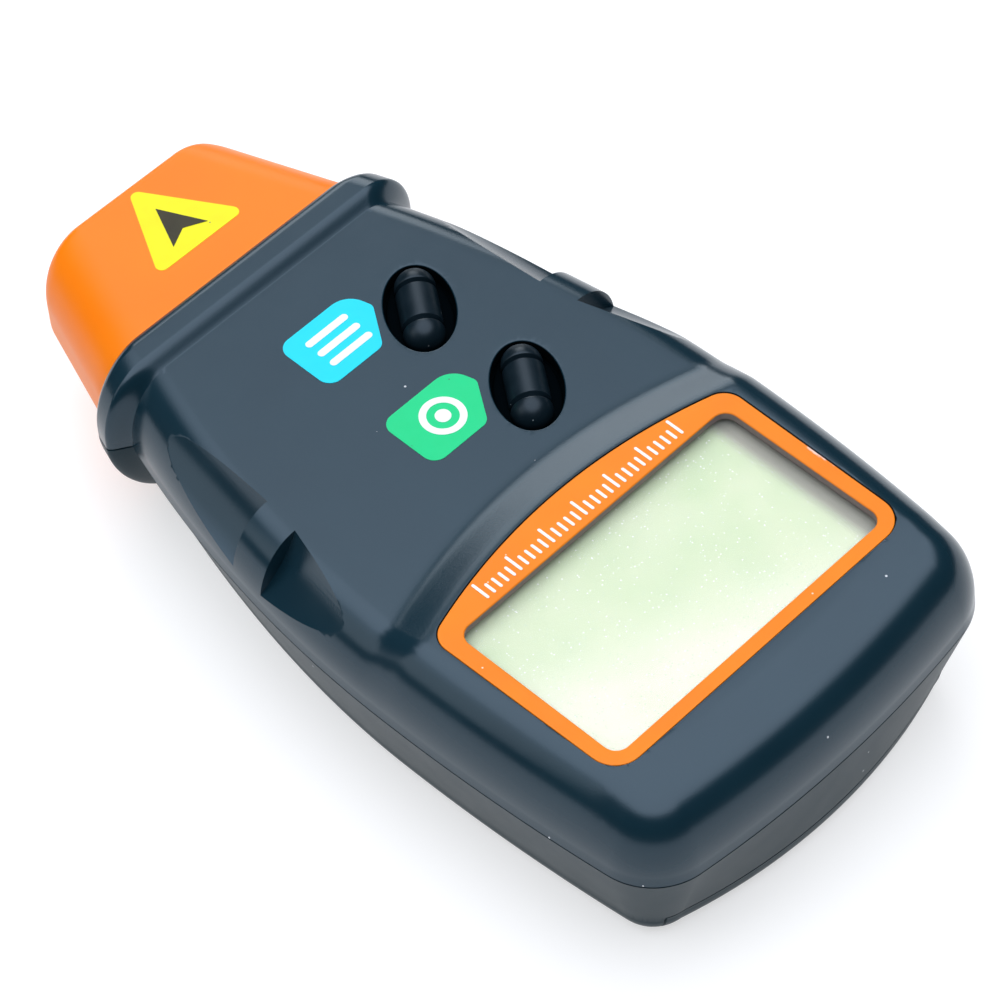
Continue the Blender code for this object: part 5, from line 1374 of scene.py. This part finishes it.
RING_Y, RING_OUTER, RING_INNER, DOT = GREEN_LOW + FIELD_TALL / 2, 6.4, 4.4, 2.2
RING_STEPS = 64
ring = inked("ring", circle(0.0, RING_Y, RING_OUTER, RING_STEPS), ON_INK)
cut(ring, prism("hole", circle(0.0, RING_Y, RING_INNER, RING_STEPS), FACE_Z - PAST, FACE_Z + PAST))
dot = inked("dot", circle(0.0, RING_Y, DOT, 40), ON_INK)
dress(together([ring, dot]), WHITE_INK, HOUSING).name = "green_field_ring"

# A row of ticks along the frame's broad side, every fifth one long
TICKS, TICK_PITCH, TICK_WIDTH, TICK_TALL, TICK_LONG = 31, 1.2, 0.42, 1.5, 2.6
TICK_FOOT_Y = WINDOW_CENTRE_Y + WINDOW_HEIGHT / 2 + 1.3
ticks = []
for i in range(TICKS):
    x = (i - (TICKS - 1) / 2) * TICK_PITCH
    top_y = TICK_FOOT_Y + (TICK_TALL if i % 5 else TICK_LONG)
    ticks.append(inked("tick", bar(x, TICK_FOOT_Y, x, top_y, TICK_WIDTH), FRAME_TOP_Z))
dress(together(ticks), WHITE_INK, HOUSING).name = "frame_ticks"


def cap_top(x, y):
    """Height of the cap's top: flat, and round towards its sides and its front."""
    turn = turned_in(y, NOSE_Y, CAP_FRONT_SIDE_EDGE)
    edge = CAP_TOP_EDGE - turn
    over = np.clip(np.abs(x) - (cap_half_width(y) - turn - edge), 0.0, edge)
    top = CAP_TOP_Z - turned_in(y, NOSE_Y, CAP_FRONT_TOP_EDGE)
    return top - edge + np.sqrt(edge ** 2 - over ** 2)


def draped(name, outline, material, lift, thick):
    """A label that lies on the cap: rings from its middle to its outline, laid on the cap's top at
    two heights, one its face and one its underside."""
    outline = np.asarray(outline)
    middle = outline.mean(axis=0)
    shares = np.linspace(1.0, DRAPE_LEAST, DRAPE_RINGS)[:, None, None]
    plan = middle + (outline - middle) * shares
    height = cap_top(plan[..., 0], plan[..., 1])
    face = np.concatenate([plan, (height + lift)[..., None]], -1)
    return dress(loft(name, np.concatenate([face[::-1], face - (0, 0, thick)])), material, HOUSING)


# The yellow arrow on the cap, its point towards the nose, with a plain dark arrowhead in it
ARROW = ((-8.0, 50.1), (8.4, 50.1), (-0.2, 64.6))
draped("aiming_arrow", rounded_polygon(ARROW, (1.0, 1.0, 1.0), 8), YELLOW_INK, INK, INK + INK_ROOT)
ARROWHEAD = ((0.1, 53.9), (3.3, 52.3), (0.0, 59.2), (-3.1, 52.3))
head = prism("arrowhead", np.array(ARROWHEAD), CAP_TOP_Z - INK_ROOT, CAP_TOP_Z + 2 * INK)
dress(head, BLACK_INK, HOUSING)


# Camera, at the photograph's angle

camera = placed("camera", bpy.data.cameras.new("camera"))
SENSOR_WIDTH, FOCAL_LENGTH = 36.0, 152.435
camera.data.sensor_width = SENSOR_WIDTH
camera.data.lens = FOCAL_LENGTH
CAMERA_PLACE = Matrix.Translation((-0.23622, -0.25532, 0.45226))
AZIMUTH, ELEVATION, ROLL = (math.radians(turn) for turn in (-43.409, 51.625, -3.286))
lift = Matrix.Rotation(math.pi / 2 - ELEVATION, 4, "X")
aim = Matrix.Rotation(AZIMUTH, 4, "Z") @ lift @ Matrix.Rotation(ROLL, 4, "Z")
camera.matrix_world = CAMERA_PLACE @ aim
bpy.context.scene.camera = camera
bpy.context.scene.view_settings.view_transform = "Standard"

# Floor and lights: a white table, an even sky that is dark towards the horizon, a soft lamp beyond
# the nose's right side and a weak one beyond its left side

FLOOR_GLOW = 0.56
glow = {"Emission Color": linear("ffffff"), "Emission Strength": FLOOR_GLOW}
table = Finish("white_table_board", {"Roughness": 0.6} | glow)
give(table.tree, table.shader, {"Base Color": table.mixed(table.drift(60.0), "bababa", "b7b7b7")})
FLOOR_HALF = 3.0
FLOOR_Z = -0.0002
low, high = -FLOOR_HALF, FLOOR_HALF
corners = [(x, y, FLOOR_Z) for x, y in ((low, low), (high, low), (high, high), (low, high))]
floor_mesh = bpy.data.meshes.new("floor")
floor_mesh.from_pydata(corners, [], [(0, 1, 2, 3)])
floor_mesh.materials.append(table.material)
floor = placed("floor", floor_mesh)

SKY_HIGH = 2.7
SKY_START, SKY_END = 0.66, 0.84
world = bpy.data.worlds.new("soft_sky")
world.use_nodes = True
tree = world.node_tree
way = add(tree, "ShaderNodeSeparateXYZ", {0: add(tree, "ShaderNodeTexCoord").outputs["Generated"]})
rise = {"Value": way.outputs["Z"], "From Min": SKY_START, "From Max": SKY_END, "To Max": SKY_HIGH}
strength = add(tree, "ShaderNodeMapRange", rise, interpolation_type="SMOOTHSTEP").outputs["Result"]
give(tree, tree.nodes["Background"], {"Color": linear("f3f7ff"), "Strength": strength})
bpy.context.scene.world = world


def lamp(name, way, distance, size, power):
    """A square lamp at a distance in some direction, turned to the instrument."""
    light = bpy.data.lights.new(name, "AREA")
    light.shape = "SQUARE"
    light.size = size
    light.energy = power
    made = placed(name, light)
    made.location = Vector(way).normalized() * distance
    made.rotation_euler = (-made.location).to_track_quat("-Z", "Y").to_euler()


lamp("main_lamp", way=(2.7, 3.4, 2.3), distance=0.9, size=0.42, power=1.8)
lamp("fill_lamp", way=(-0.72, 0.45, 0.53), distance=0.9, size=0.5, power=1.0)
